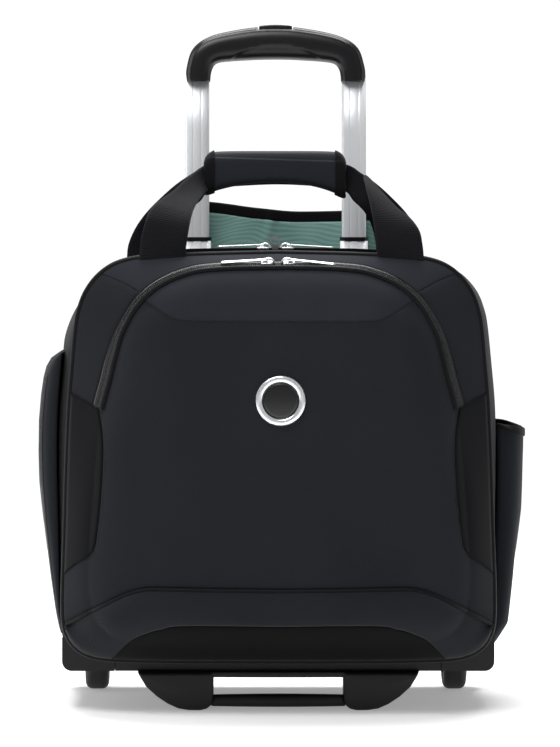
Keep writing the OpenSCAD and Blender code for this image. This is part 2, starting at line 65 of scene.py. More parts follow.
lamps = {  # where, aimed at, size, watts
    "key": ((-0.35, -0.7, 1.35), (0, -0.1, 0.38), (0.9, 0.5), 13),
    "fill": ((1.7, -1.8, 1.3), (0, 0, 0.25), (1.4, 1.8), 2.5),
    "top": ((0, 0.85, 2.5), (0, 0, 0.2), (2.2, 1.5), 108),
    "edgeLeft": ((-2.0, 0.2, 0.9), (0, 0, 0.3), (0.7, 2.0), 15),
    "edgeRight": ((2.0, 0.8, 0.9), (0, 0, 0.3), (0.7, 2.0), 5),
}
for lampName, (where, aim, size, watts) in lamps.items():
    lampData = bpy.data.lights.new(lampName, "AREA")
    lampData.shape = "RECTANGLE"
    lampData.size, lampData.size_y = size
    lampData.energy = watts
    lamp = bpy.data.objects.new(lampName, lampData)
    scene.collection.objects.link(lamp)
    lamp.location = where
    way = np.array(aim, float) - np.array(where, float)
    flat = math.hypot(way[0], way[1])
    lamp.rotation_euler = (math.atan2(flat, -way[2]), 0, math.atan2(-way[0], way[1]))
# white all round: dim where it lights the case, full where the camera looks straight at it
surround = {"lights": 0.19, "seen": 1.05}
world = bpy.data.worlds.new("studio")
scene.world = world
world.use_nodes = True
sky = world.node_tree.nodes["Background"]
sky.inputs[0].default_value = (1, 1, 1, 1)
seen = world.node_tree.nodes.new("ShaderNodeLightPath")
level = world.node_tree.nodes.new("ShaderNodeMapRange")
level.inputs["To Min"].default_value = surround["lights"]
level.inputs["To Max"].default_value = surround["seen"]
world.node_tree.links.new(seen.outputs["Is Camera Ray"], level.inputs["Value"])
world.node_tree.links.new(level.outputs[0], sky.inputs[1])
print("stage: camera and light")

mm = 0.001  # shapes are worked out in millimetres and put into the mesh in metres
caseCentre = (0, 20, 200)


def unit(a):
    # each vector divided by its own length
    return a / np.linalg.norm(a, axis=-1, keepdims=True)


def runAlong(line):
    # the distance from the line's start to each of its points
    return np.concatenate([[0], np.cumsum(np.linalg.norm(np.diff(line, axis=0), axis=1))])


def smoothLine(points, count, closed=False):
    # a Catmull-Rom curve through the points, cut into equal steps
    p = np.array(points, float)
    if closed:
        p = np.vstack([p[-1], p, p[0], p[1]])
    else:
        p = np.vstack([2 * p[0] - p[1], p, 2 * p[-1] - p[-2]])
    t = np.linspace(0, 1, 24, endpoint=False)[:, None]
    parts = []
    for i in range(1, len(p) - 2):
        a, b, c, d = p[i - 1], p[i], p[i + 1], p[i + 2]
        parts.append(0.5 * (2 * b + (c - a) * t + (2 * a - 5 * b + 4 * c - d) * t**2
                            + (3 * b - a - 3 * c + d) * t**3))
    line = np.vstack(parts + [p[-2][None]])
    return evenly(line, count, closed)


def evenly(line, count, closed=False):
    run = runAlong(line)
    at = np.linspace(0, run[-1], count + 1)[:-1] if closed else np.linspace(0, run[-1], count)
    return np.stack([np.interp(at, run, line[:, k]) for k in range(line.shape[1])], 1)


def coons(low, high, left, right):
    # S(u,v) = (1-v) low + v high + (1-u) left + u right - the bilinear corners
    u = np.linspace(0, 1, len(low))[None, :, None]
    v = np.linspace(0, 1, len(left))[:, None, None]
    edge = (1 - v) * low[None] + v * high[None] + (1 - u) * left[:, None] + u * right[:, None]
    corner = ((1 - u) * (1 - v) * low[0] + u * (1 - v) * low[-1]
              + (1 - u) * v * high[0] + u * v * high[-1])
    return edge - corner


def distance(line, x, z):
    # from each place to the nearest point of the line
    shape = x.shape
    q = np.stack([x.ravel(), z.ravel()], 1)
    best = np.full(len(q), 1e9)
    for i in range(0, len(line), 64):
        part = line[i:i + 64]
        gap = (q[:, None, 0] - part[None, :, 0])**2 + (q[:, None, 1] - part[None, :, 1])**2
        best = np.minimum(best, gap.min(1))
    return np.sqrt(best).reshape(shape)


def inside(line, x, z):
    # odd number of crossings of the closed line by a ray towards -X
    shape = x.shape
    px, pz = x.ravel(), z.ravel()
    hit = np.zeros(len(px), bool)
    for a, b in zip(line, np.roll(line, -1, 0)):
        if a[1] == b[1]:
            continue
        crossX = (b[0] - a[0]) * (pz - a[1]) / (b[1] - a[1]) + a[0]
        hit ^= ((a[1] > pz) != (b[1] > pz)) & (px < crossX)
    return hit.reshape(shape)


def ease(t):
    # 3 t^2 - 2 t^3, with t held between 0 and 1
    t = np.clip(t, 0, 1)
    return t * t * (3 - 2 * t)


def gridParts(grid, closeU=False, closeV=False, flip=False):
    # one face for each cell of the grid; the UV map is the run along rows and columns
    rows, cols = grid.shape[:2]
    index = np.arange(rows * cols).reshape(rows, cols)
    if closeU:
        index = np.hstack([index, index[:, :1]])
    if closeV:
        index = np.vstack([index, index[:1]])
    a, b, c, d = index[:-1, :-1], index[:-1, 1:], index[1:, 1:], index[1:, :-1]
    faces = np.stack([a, b, c, d], -1).reshape(-1, 4)
    if flip:
        faces = faces[:, ::-1]
    du = np.linalg.norm(np.diff(grid, axis=1), axis=2)
    dv = np.linalg.norm(np.diff(grid, axis=0), axis=2)
    u = np.hstack([np.zeros((rows, 1)), np.cumsum(du, 1)])
    v = np.vstack([np.zeros((1, cols)), np.cumsum(dv, 0)])
    return grid.reshape(-1, 3), faces, np.stack([u, v], -1).reshape(-1, 2) * mm


def mirrored(part):
    v, f, uv = part
    return v * [-1, 1, 1], f[:, ::-1], uv


def capped(grid):
    # rings joined into a tube, with a fan of triangles from the middle of each end
    v, f, uv = gridParts(grid, closeU=True)
    size, count = grid.shape[1], len(v)
    first = np.arange(size)
    last = first + count - size
    near = np.stack([np.full(size, count), np.roll(first, -1), first], 1)
    far = np.stack([np.full(size, count + 1), last, np.roll(last, -1)], 1)
    v = np.vstack([v, grid[0].mean(0), grid[-1].mean(0)])
    return v, f, np.vstack([uv, uv[:1], uv[-1:]]), (near, far)


def sweepParts(path, profile, side, closed=False, grow=None, caps=True):
    # point = path + profile_x * s + profile_y * n, where t is the path's direction,
    # s is the side vector made square to t, and n = t x s
    path = np.asarray(path, float)
    t = unit(np.roll(path, -1, 0) - np.roll(path, 1, 0) if closed else np.gradient(path, axis=0))
    s = np.broadcast_to(np.asarray(side, float), path.shape)
    s = unit(s - (s * t).sum(1)[:, None] * t)
    n = np.cross(t, s)
    prof = np.asarray(profile, float)
    if grow is None:
        grow = np.ones((len(path), 2))
    grid = (path[:, None] + prof[None, :, :1] * grow[:, None, :1] * s[:, None]
         + prof[None, :, 1:] * grow[:, None, 1:] * n[:, None])
    return capped(grid) if caps and not closed else gridParts(grid, closeU=True, closeV=closed)


def meshOf(name, parts):
    # each part is points in mm, faces, UV and, on some, a tuple of faces that close its ends
    faces, start = [], 0
    for v, f, uv, *ends in parts:
        for group in (f, *(ends[0] if ends else ())):
            faces += (group + start).tolist()
        start += len(v)
    mesh = bpy.data.meshes.new(name)
    mesh.from_pydata((np.vstack([part[0] for part in parts]) * mm).tolist(), [], faces)
    layer = mesh.uv_layers.new(name="cloth")
    loops = np.zeros(len(mesh.loops), np.int64)
    mesh.loops.foreach_get("vertex_index", loops)
    uvs = np.vstack([part[2] for part in parts]).astype(np.float32)
    layer.data.foreach_set("uv", uvs[loops].ravel())
    mesh.polygons.foreach_set("use_smooth", np.full(len(faces), True))
    mesh.update()
    obj = bpy.data.objects.new(name, mesh)
    scene.collection.objects.link(obj)
    return obj


def addGrid(name, grid, **how):
    return meshOf(name, [gridParts(grid, **how)])


def addSweep(name, path, profile, side, **how):
    return meshOf(name, [sweepParts(path, profile, side, **how)])


def ringProfile(r, count=12):
    # a circle: r cos a, r sin a
    a = np.linspace(0, 2 * np.pi, count, endpoint=False)
    return np.stack([r * np.cos(a), r * np.sin(a)], 1)


def barProfile(w, h, r, count=5):
    # a w by h rectangle with a quarter circle of radius r at each corner
    out = []
    for k, (sx, sy) in enumerate(((1, 1), (-1, 1), (-1, -1), (1, -1))):
        a = np.radians(np.linspace(90 * k, 90 * k + 90, count))
        out.append(np.stack([sx * (w / 2 - r) + r * np.cos(a), sy * (h / 2 - r) + r * np.sin(a)], 1))
    return np.vstack(out)


def faceOut(obj, centre=caseCentre):
    # turn the faces round if, weighed by area, they look towards the centre
    mesh = obj.data
    n, c, a = (np.zeros(len(mesh.polygons) * k) for k in (3, 3, 1))
    mesh.polygons.foreach_get("normal", n)
    mesh.polygons.foreach_get("center", c)
    mesh.polygons.foreach_get("area", a)
    if ((n.reshape(-1, 3) * (c.reshape(-1, 3) - np.array(centre) * mm)).sum(1) * a).sum() < 0:
        mesh.flip_normals()


def solid(obj, thick, offset=-1):
    mod = obj.modifiers.new("thickness", "SOLIDIFY")
    mod.thickness, mod.offset = thick, offset


def finishPiece(obj, body, nodes, material, thick=0, offset=-1, centre=caseCentre):
    if thick:
        solid(obj, thick, offset)
    faceOut(obj, centre)
    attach(obj, body)
    if nodes:
        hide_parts(*nodes)
    obj.data.materials.append(material)
    return obj


def linear(c):
    # screen values 0 to 255 made linear
    return [((v / 255 + 0.055) / 1.055)**2.4 if v > 10 else v / 255 / 12.92 for v in c] + [1.0]


class Nodes:
    def __init__(self, name):
        self.mat = bpy.data.materials.new(name)
        self.mat.use_nodes = True
        self.tree = self.mat.node_tree
        self.shader = self.tree.nodes["Principled BSDF"]
        self.where = self.tree.nodes.new("ShaderNodeTexCoord")

    def add(self, kind, **values):
        node = self.tree.nodes.new("ShaderNode" + kind)
        for key, value in values.items():
            if key.startswith("in_"):
                node.inputs[key[3:].replace("_", " ")].default_value = value
            else:
                setattr(node, key, value)
        return node

    def link(self, a, b):
        self.tree.links.new(a, b)

    def math(self, op, a, b=None):
        node = self.add("Math", operation=op)
        for i, v in enumerate((a, b)):
            if v is None:
                continue
            if isinstance(v, (int, float)):
                node.inputs[i].default_value = v
            else:
                self.link(v, node.inputs[i])
        return node.outputs[0]

    def mix(self, factor, a, b):
        node = self.add("Mix", data_type="RGBA")
        self.link(factor, node.inputs[0])
        node.inputs[6].default_value = a
        node.inputs[7].default_value = b
        return node.outputs[2]

    def bump(self, height, strength, depth):
        node = self.add("Bump", in_Strength=strength, in_Distance=depth)
        self.link(height, node.inputs["Height"])
        self.link(node.outputs[0], self.shader.inputs["Normal"])


    def noise(self, place, scale, detail):
        node = self.add("TexNoise", in_Scale=scale, in_Detail=detail)
        self.link(place, node.inputs["Vector"])
        return node.outputs[0]

    def scaled(self, value, factor, plus):
        return self.math("ADD", self.math("MULTIPLY", value, factor), plus)

    def look(self, color, roughness, **values):
        self.link(color, self.shader.inputs["Base Color"])
        if isinstance(roughness, float):
            self.shader.inputs["Roughness"].default_value = roughness
        else:
            self.link(roughness, self.shader.inputs["Roughness"])
        for key, value in values.items():
            self.shader.inputs[key.replace("_", " ")].default_value = value


def cloth(name, dark, light, rough=0.8, pitch=1.1, depth=0.12, ribs=None, uv=False):
    # twill: fine slanted bands broken up by noise; ribs = (axis, pitch in mm) for webbing
    n = Nodes(name)
    place = n.where.outputs["UV" if uv else "Object"]
    fine, slow = n.noise(place, 900.0, 2.0), n.noise(place, 14.0, 3.0)
    split = n.add("SeparateXYZ")
    n.link(place, split.inputs[0])
    x, y, z = split.outputs
    if ribs:
        run, pitch = {"x": x, "y": y, "z": z}[ribs[0]], ribs[1]
    else:
        run = n.math("ADD", n.math("ADD", x, y), z)
    band = n.scaled(n.math("SINE", n.math("MULTIPLY", run, 2000 * math.pi / pitch)), 0.5, 0.5)
    height = n.scaled(band, 0.7, n.math("MULTIPLY", fine, 0.6))
    tone = n.scaled(height, 0.45, n.math("MULTIPLY", slow, 0.4))
    n.look(n.mix(tone, linear(dark), linear(light)), rough,
           Sheen_Weight=0.06, Sheen_Roughness=0.45, Specular_IOR_Level=0.08)
    n.bump(height, 0.5, depth * mm)
    return n.mat


def hard(name, color, rough, metal=0.0, grain=600.0, depth=0.03, spec=0.5):
    # plastic, rubber or metal with a fine grain in its tone, its gloss and its surface
    n = Nodes(name)
    grainNoise = n.noise(n.where.outputs["Object"], grain, 3.0)
    lift = [min(1.0, c * 1.12 + 0.002) for c in linear(color)[:3]] + [1.0]
    n.look(n.mix(grainNoise, linear(color), lift), n.scaled(grainNoise, 0.08, rough - 0.04),
           Metallic=metal, Specular_IOR_Level=spec)
    n.bump(grainNoise, 0.25, depth * mm)
    return n.mat


def brushed(name, color, rough):
    # fine lines along the tube: noise stretched along Z
    n = Nodes(name)
    stretch = n.add("Mapping")
    stretch.inputs["Scale"].default_value = (1400, 1400, 3)
    n.link(n.where.outputs["Object"], stretch.inputs["Vector"])
    lines = n.noise(stretch.outputs[0], 1.0, 2.0)
    lift = [min(1.0, c * 1.15) for c in linear(color)[:3]] + [1.0]
    # Metallic 0.3: most of the pale colour is diffuse and stands in for a reflection of the white surroundings,
    # a painted reflection
    n.look(n.mix(lines, linear(color), lift), n.scaled(lines, 0.06, rough - 0.03), Metallic=0.3)
    return n.mat


def moire(name, dark, light):
    # thin watered cloth: fine lines bent by noise, between two tones
    n = Nodes(name)
    place = n.where.outputs["Object"]
    bend, broad = n.noise(place, 16.0, 1.5), n.noise(place, 22.0, 1.0)
    split = n.add("SeparateXYZ")
    n.link(place, split.inputs[0])
    phase = n.scaled(split.outputs[2], 1500.0, n.math("MULTIPLY", bend, 60.0))
    line = n.scaled(n.math("SINE", phase), 0.5, 0.5)
    tone = n.scaled(line, 0.25, n.math("MULTIPLY", broad, 0.8))
    n.look(n.mix(tone, linear(dark), linear(light)), 0.45)
    n.bump(line, 0.3, 0.1 * mm)
    return n.mat


twill = cloth("black twill", (16, 17, 20), (39, 40, 45), pitch=1.7)
# the next cloth is the same twill painted lighter, for the yoke and the top gusset: painted light from above, a
# lit copy of one cloth
twillPaintedTopLight = cloth("black twill, painted top light", (21, 22, 25), (47, 48, 55), pitch=1.7)
plain = cloth("plain black cloth", (9, 9, 11), (19, 20, 23), pitch=0.6, depth=0.06)
insertCloth = cloth("smooth black cloth", (2, 2, 2), (5, 5, 6), pitch=0.6, depth=0.05)
pocketCloth = cloth("pocket cloth", (18, 19, 22), (35, 38, 43), pitch=1.0)
webCloth = cloth("ribbed webbing", (6, 6, 8), (27, 27, 31), ribs=("y", 1.7), depth=0.4, uv=True)
grainCloth = cloth("grip cloth", (24, 25, 30), (38, 40, 46), rough=0.5, pitch=0.8, depth=0.04)
bindingCloth = cloth("binding tape", (9, 9, 11), (18, 18, 20), pitch=0.8)
pipingCloth = cloth("piping tape", (10, 10, 12), (22, 22, 25), rough=0.5, pitch=0.9, depth=0.05)
tapeCloth = cloth("zip tape cloth", (8, 8, 10), (20, 20, 23), pitch=0.7)
lining = moire("teal lining", (44, 93, 85), (146, 184, 176))
moulded = hard("black moulding", (10, 10, 13), 0.42, spec=0.28)
gripPlastic = hard("grip plastic", (9, 9, 12), 0.34, depth=0.01, spec=0.35)
coilPlastic = hard("zip coil", (26, 26, 29), 0.35)
rubber = hard("tyre rubber", (14, 14, 15), 0.6)
hubPlastic = hard("hub plastic", (34, 34, 37), 0.5)
# only partly metallic, so the pale colour lights up under the lamps in place of the tubes' reflection of the
# white surroundings: painted reflection
aluminiumPaintedReflection = brushed("bright aluminium", (220, 222, 225), 0.4)
# only partly metallic, so its near-white colour shows as diffuse brightness under the lamps and stands in for
# the reflection of the white surroundings: painted reflection on the sliders, tabs and badge ring
chromePaintedReflection = hard("metal, painted reflection", (228, 229, 232), 0.24, metal=0.7, depth=0.005)
steel = hard("plain steel", (150, 150, 154), 0.35, metal=1.0)
inlay = hard("badge inlay", (16, 16, 18), 0.3, grain=1500.0, depth=0.15)
print("stage: materials")

# lines of the front, half of each, from the middle or the top, in mm (x, z)
frameHalf = [(0, 373.2), (60, 371.8), (100, 370), (118, 368.4), (134, 363.5), (147, 354), (156.5, 341),
             (162, 326), (164.6, 310.6), (167.3, 280), (169.8, 248), (171.8, 200), (173.2, 150),
             (174.8, 100), (174.6, 76), (172, 63), (165.5, 53), (156, 47), (146, 44.3), (130, 42.8),
             (90, 42), (0, 41.6)]
archHalf = [(0, 361.6), (34.5, 361.2), (55, 360), (71, 357.6), (90, 350.5), (105, 340.5), (115.5, 329),
            (122.5, 317), (128, 304.7), (133, 286), (136.8, 270), (141, 255), (143, 247)]
bandHalf = [(0, 101.6), (60, 102.4), (100, 103.2), (111, 102.2), (124, 98.2), (140, 90), (156, 81.5),
            (171.5, 72)]
yokeHalf = [(0, 318.2), (70, 318.4), (84, 320.5), (97, 327.5), (109.5, 336)]
wingInner = [(145.2, 247.6), (142.2, 228), (141.6, 208), (143.4, 176), (146, 151), (148.6, 135.5),
             (153, 129)]
wingLow = [(153, 129), (163.5, 122), (174.3, 112)]
insertHalf = [(0, 73.6), (76, 74.2), (95, 71), (104, 68.4), (120, 60.5), (136, 43.2)]


def bothSides(half):
    return np.vstack([half[::-1] * [-1, 1], half[1:]])


def loopOf(half):
    return np.vstack([half, half[::-1][1:-1] * [-1, 1]])


def ends(*points):
    return [np.array(point, float) for point in points]


frameRight = smoothLine(frameHalf, 700)
frameLoop = loopOf(frameRight)
archRight = smoothLine(archHalf, 420)
# the face line runs on below the arch, hidden under the wings, and only shapes the form
faceTail = smoothLine([(143, 247), (147, 215), (150, 180), (153, 140), (154, 105), (148, 78), (130, 62),
                       (100, 55), (0, 53)], 400)
faceLoop = loopOf(np.vstack([archRight, faceTail[1:]]))
bandRight = smoothLine(bandHalf, 200)
yokeRight = smoothLine(yokeHalf, 160)

lidShape = {"frameY": -70.0, "slope": 21.0, "crown": 18.0, "roll": 15.0, "seamDent": 2.4, "seamWidth": 11,
            "cloth": 0.002}
yokeSeam = evenly(bothSides(yokeRight), 400)


def lidForm(x, z):
    # t = dFrame / (dFrame + dFace); y = frameY - slope t outside the face line,
    # and y = frameY - slope - crown (1 - exp(-dFace / roll)) inside it
    dFrame = distance(frameLoop, x, z)
    dFace = distance(faceLoop, x, z)
    within = inside(faceLoop, x, z)
    t = dFrame / (dFrame + dFace + 1e-6)
    low = ease((250 - z) / 90)
    slopePart = t * (1 - low) + low * np.sin(t * np.pi / 2 * 0.8) / np.sin(np.pi / 2 * 0.8)
    face = lidShape["slope"] + lidShape["crown"] * (1 - np.exp(-dFace / lidShape["roll"]))
    deep = np.where(within, face, lidShape["slope"] * slopePart)
    dent = np.exp(-(distance(yokeSeam, x, z) / lidShape["seamWidth"])**1.3) * within * ease(dFace / 9)
    sag = 1.6 * np.sin(x / 61 + 0.4) * np.sin(z / 47) * ease(dFace / 40) * within
    return lidShape["frameY"] - (deep - lidShape["seamDent"] * dent) - 0.45 * sag


def seamPuff(line, x, z, high=1.0, width=4.0, dip=0.7):
    # each panel swells between its seams: high (1 - exp(-d / width)) - dip at the seam itself
    d = distance(line, x, z)
    return high * (1 - np.exp(-d / width)) - dip * np.exp(-d / 0.9)


def panel(low, high, left, right, form=lidForm, puff=(1.0, 4.0, 0.7), raised=0.0, edge=1.6):
    # the four edges filled in as a Coons patch, laid on the form and swollen between its seams
    flat = coons(low, high, left, right)
    x, z = flat[..., 0], flat[..., 1]
    y = form(x, z)
    rim = np.vstack([low, high, left, right])
    rim = np.vstack([rim, (low[1:] + low[:-1]) / 2, (high[1:] + high[:-1]) / 2])
    y = y - seamPuff(rim, x, z, *puff)
    if raised:
        y = y - raised * ease(distance(rim, x, z) / edge)
    return gridParts(np.stack([x, y, z], -1))


def pieceOf(line, a, b, count):
    # the part of a line between the points nearest to a and b, with those ends made exact
    i = int(np.argmin(((line - a)**2).sum(1)))
    j = int(np.argmin(((line - b)**2).sum(1)))
    part = line[min(i, j):max(i, j) + 1]
    part = part if i <= j else part[::-1]
    part = np.vstack([[a], part[1:-1], [b]])
    return evenly(part, count)

# the lid's outer cloth: front panel, yoke, wings, side and top gussets, padded band and insert
yokeStart, wingTop, wingFoot, bandOut = ends(yokeHalf[-1], wingInner[0], wingLow[-1], bandHalf[-1])
wingOut, seamOuter, footPoint = ends((169.4, 260), (143.5, 356.4), (136, 43))
archMid, frameTop, frameLow = ends(archHalf[0], frameHalf[0], frameHalf[-1])
wingLine = evenly(np.array(wingLow, float), 40)
rightSide = np.vstack([
    pieceOf(frameRight, bandOut, wingFoot, 60), wingLine[::-1][1:],
    smoothLine(wingInner[::-1], 120)[1:], pieceOf(archRight, wingTop, yokeStart, 120)[1:]])
rightSide = rightSide[rightSide[:, 1] >= np.maximum.accumulate(rightSide[:, 1])]
levels = np.linspace(rightSide[0, 1], rightSide[-1, 1], 200)
rightSide = np.stack([np.interp(levels, rightSide[:, 1], rightSide[:, 0]), levels], 1)
leftSide = rightSide * [-1, 1]
yokeLine = evenly(bothSides(yokeRight), 240)
bandLine = evenly(bothSides(bandRight), 240)
frontPanel = meshOf("front_fabric", [panel(bandLine, yokeLine, leftSide, rightSide)])
faceOut(frontPanel)
frontPanel.data.materials.append(twill)
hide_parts("lid_front_panel", "flap_panel")
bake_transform(frontPanel)
solid(frontPanel, lidShape["cloth"])


def lidPiece(name, parts, body, node, material):
    return finishPiece(meshOf(name, parts), body, [node], material, lidShape["cloth"])


archTop = evenly(bothSides(pieceOf(archRight, archMid, yokeStart, 160)), 240)
point = np.repeat(yokeStart[None], 44, 0)
# the yoke wears the twill painted lighter: painted light from above
lidPiece("flap_yoke_fabric", [panel(yokeLine, archTop, point * [-1, 1], point)], "pocket_flap", "flap_yoke",
         twillPaintedTopLight)

# wings: raised panels with a turned edge
wingHigh = evenly(np.stack([wingTop, (wingTop + wingOut) / 2 + [0, 0.6], wingOut]), 40)
wingRight = panel(wingLine, wingHigh, evenly(smoothLine(wingInner[::-1], 200), 130),
                  pieceOf(frameRight, wingFoot, wingOut, 130), puff=(0.5, 3.0, 0.2), raised=2.2, edge=2.0)
lidPiece("wing_panels", [wingRight, mirrored(wingRight)], "lid", "lid_wings", plain)

# zip track of the front pocket lies between these two lines, a little outside the arch
zipGap = {"narrow": 5.4, "wide": 8.2}


def outward(line, amount):
    # every point moved square to the line
    t = unit(np.gradient(line, axis=0))
    return line + np.stack([-t[:, 1], t[:, 0]], 1) * np.asarray(amount)[:, None]


def outsideArch(amount):
    # the arch moved to whichever side is higher at its middle
    moved = outward(archFull, amount)
    return moved if moved[len(moved) // 2, 1] > archMid[1] else outward(archFull, -amount)


archFull = evenly(bothSides(archRight), 600)
archCentre = len(archFull) // 2
trackWidth = zipGap["narrow"] + (zipGap["wide"] - zipGap["narrow"]) * ease((330 - archFull[:, 1]) / 60)
trackEdge = outsideArch(trackWidth)
edgeRight = evenly(trackEdge[archCentre:] if trackEdge[-1, 0] > 0 else trackEdge[:archCentre][::-1], 400)
edgeRight = edgeRight[edgeRight[:, 1] > 249]
innerFoot = edgeRight[-1]
seamIn = edgeRight[int(np.argmin(np.abs(edgeRight[:, 1] - 341.5)))]
footLine = evenly(np.stack([innerFoot, wingOut]), 40)
seamLine = evenly(np.stack([seamIn, (seamIn + seamOuter) / 2 + [0, 1.2], seamOuter]), 40)
sideRight = panel(footLine, seamLine, pieceOf(edgeRight, innerFoot, seamIn, 100),
                  pieceOf(frameRight, wingOut, seamOuter, 100), puff=(0.9, 4.0, 0.7))
lidPiece("side_gusset_fabric", [sideRight, mirrored(sideRight)], "lid", "lid_side_gussets", twill)

topMid = np.array([0.0, edgeRight[0, 1]])
gussetLow = evenly(bothSides(pieceOf(edgeRight, topMid, seamIn, 150)), 240)
gussetHigh = evenly(bothSides(pieceOf(frameRight, frameTop, seamOuter, 150)), 240)
topGusset = panel(gussetLow, gussetHigh, seamLine * [-1, 1], seamLine, puff=(0.6, 3.0, 0.4))
# the top gusset wears the twill painted lighter: painted light from above
lidPiece("top_gusset_fabric", [topGusset], "lid", "lid_top_gusset", twillPaintedTopLight)
print("stage: lid fabric")

# bumper: a stuffed band under the lower piping, with a smooth insert
insertRight = smoothLine(insertHalf, 160)
insertFull = evenly(bothSides(insertRight), 200)
bumperShape = {"bulge": 10.5, "footY": -70, "belly": 26}


def bumperForm(x, z):
    # y = lidForm where the band meets the frame, bulging forward by up to bulge in between
    top = distance(bandFull, x, z)
    low = distance(frameLoop, x, z)
    t = top / (top + low + 1e-6)
    side = ease((176 - np.abs(x)) / 46)
    bulge = bumperShape["bulge"] * np.sin(np.pi * np.clip(t, 0, 1)**0.62) ** 0.8 * side
    turned = ease(t * 1.3 - 0.3)
    under = bumperShape["footY"] - bumperShape["belly"] * (1 - t)**0.6
    return lidForm(x, z) * (1 - turned) + turned * under - bulge


bandFull = evenly(bothSides(bandRight), 500)
padFoot = np.vstack([pieceOf(frameRight, bandOut, footPoint, 60), insertRight[::-1][1:]])
padFoot = evenly(bothSides(padFoot[::-1]), 240)
tip = np.repeat(bandOut[None], 40, 0)
bumper = lidPiece("bumper_fabric", [panel(padFoot, bandLine, tip * [-1, 1], tip, form=bumperForm,
                                          puff=(0.8, 4.0, 0.9))], "lid", "bumper_pad", twill)
soleLine = evenly(bothSides(pieceOf(frameRight, frameLow, footPoint, 120)), 200)
corner = np.repeat(footPoint[None], 40, 0)
lidPiece("bumper_insert_fabric", [panel(soleLine, insertFull, corner * [-1, 1], corner, form=bumperForm,
                                        puff=(0.3, 3.0, 0.7))], "lid", "bumper_insert", insertCloth)


def along(line, form, lift=0.0):
    # a line drawn on the front, laid on the form and lifted forward
    x, z = line[:, 0], line[:, 1]
    return np.stack([x, form(x, z) - lift, z], 1)


piping = {"mainY": -68.0, "main": 2.6, "lower": 1.9, "flap": 2.1, "proud": 1.6, "rearY": 111.6, "rear": 2.1}
frameBead = np.insert(evenly(frameLoop, 700, closed=True), 1, piping["mainY"], axis=1)
bead = addSweep("main_piping_bead", frameBead, ringProfile(piping["main"]), (0, 1, 0), closed=True)
finishPiece(bead, "lid", ["main_piping"], pipingCloth)
for edge, line, count, body in (("lower", bandFull, 420, "lid"), ("flap", archFull, 460, "pocket_flap")):
    path = along(evenly(line, count), lidForm, piping["proud"])
    bead = addSweep(f"{edge}_piping_bead", path, ringProfile(piping[edge], 10), (0, 1, 0))
    finishPiece(bead, body, [f"{edge}_piping"], pipingCloth)

teeth = {"front": (1.7, 0.5, 0.75), "main": (2.0, 0.6, 0.9), "side": (1.8, 0.5, 0.8), "pitch": 1.7}


def coil(path, normals, gap, size):
    # one small rounded tooth every pitch mm, lying across the path, offset by gap to one side
    run = runAlong(path)
    at = np.arange(teeth["pitch"] / 2, run[-1], teeth["pitch"])
    p, n, t = (np.stack([np.interp(at, run, a[:, k]) for k in range(3)], 1)
               for a in (path, normals, np.gradient(path, axis=0)))
    n, t = unit(n), unit(t)
    s = np.cross(t, n)
    a = np.linspace(0, 2 * np.pi, 6, endpoint=False)
    rings = []
    for k, r in ((-0.5, 0.55), (-0.36, 1.0), (0.36, 1.0), (0.5, 0.55)):
        centre = p + s * (gap + k * size[0])
        rings.append(centre[:, None] + t[:, None] * (np.cos(a) * size[1] * r)[None, :, None]
                     + n[:, None] * (np.sin(a) * size[2] * r)[None, :, None])
    verts = np.stack(rings, 1).reshape(-1, 3)  # tooth, ring, corner
    base = np.arange(len(at))[:, None] * 24
    walls = [(i * 6 + j, i * 6 + (j + 1) % 6, i * 6 + 6 + (j + 1) % 6, i * 6 + 6 + j)
             for i in range(3) for j in range(6)]
    lids = [order[list(q)] for order in (np.arange(6)[::-1], np.arange(6) + 18)
            for q in ((0, 1, 2, 3), (0, 3, 4, 5))]
    faces = np.vstack([base + np.array(q)[None] for q in walls + lids])
    return verts, faces, verts[:, [0, 2]] * mm


def strip(path, normals, width0, width1, thick=0.6):
    # a flat tape from width0 to width1 beside the path
    t, n = unit(np.gradient(path, axis=0)), unit(normals)
    s = np.cross(t, n)
    grid = np.stack([path + s * w - n * d for w, d in
                  ((width0, 0), (width1, 0), (width1, thick), (width0, thick))], 1)
    return gridParts(grid, closeU=True)


def formNormal(line, form, e=0.8):
    # (dy/dx, -1, dy/dz), with each slope taken over e mm to both sides
    x, z = line[:, 0], line[:, 1]
    gx = (form(x + e, z) - form(x - e, z)) / (2 * e)
    gz = (form(x, z + e) - form(x, z - e)) / (2 * e)
    return unit(np.stack([gx, -np.ones_like(gx), gz], 1))


def zipHalf(name, body, node, path, normals, widths, gap, size):
    half = meshOf(name, [strip(path, normals, *widths), coil(path, normals, gap, size)])
    finishPiece(half, body, [node], coilPlastic)


# front pocket's zip: two tapes with a coil each, in the track outside the arch piping
middle = outsideArch(trackWidth * 0.58)
zipPath = along(middle, lidForm, -0.6)
zipNormal = formNormal(middle, lidForm)
sign = 1 if np.cross(np.gradient(zipPath, axis=0), zipNormal)[archCentre, 2] < 0 else -1
reach = trackWidth.max() * 0.62
zipHalf("front_zip_flap_half", "pocket_flap", "front_zip_flap_side", zipPath, zipNormal,
        (0.15 * sign, reach * sign), 0.85 * sign, teeth["front"])
zipHalf("front_zip_lid_half", "lid", "front_zip_lid_side", zipPath, zipNormal,
        (-reach * sign, -0.15 * sign), -0.85 * sign, teeth["front"])
print("stage: lid piping and zips")

case = {"front": -49.0, "back": 111.0, "swellRight": 12.0, "swellLeft": 12.5, "sag": 1.2, "cloth": 0.0025}


def swellAt(z):
    # a share of the full swell: less near the bottom, none below 40
    return (0.45 + 0.55 * ease((z - 60) / 190)), ease((z - 40) / 40)


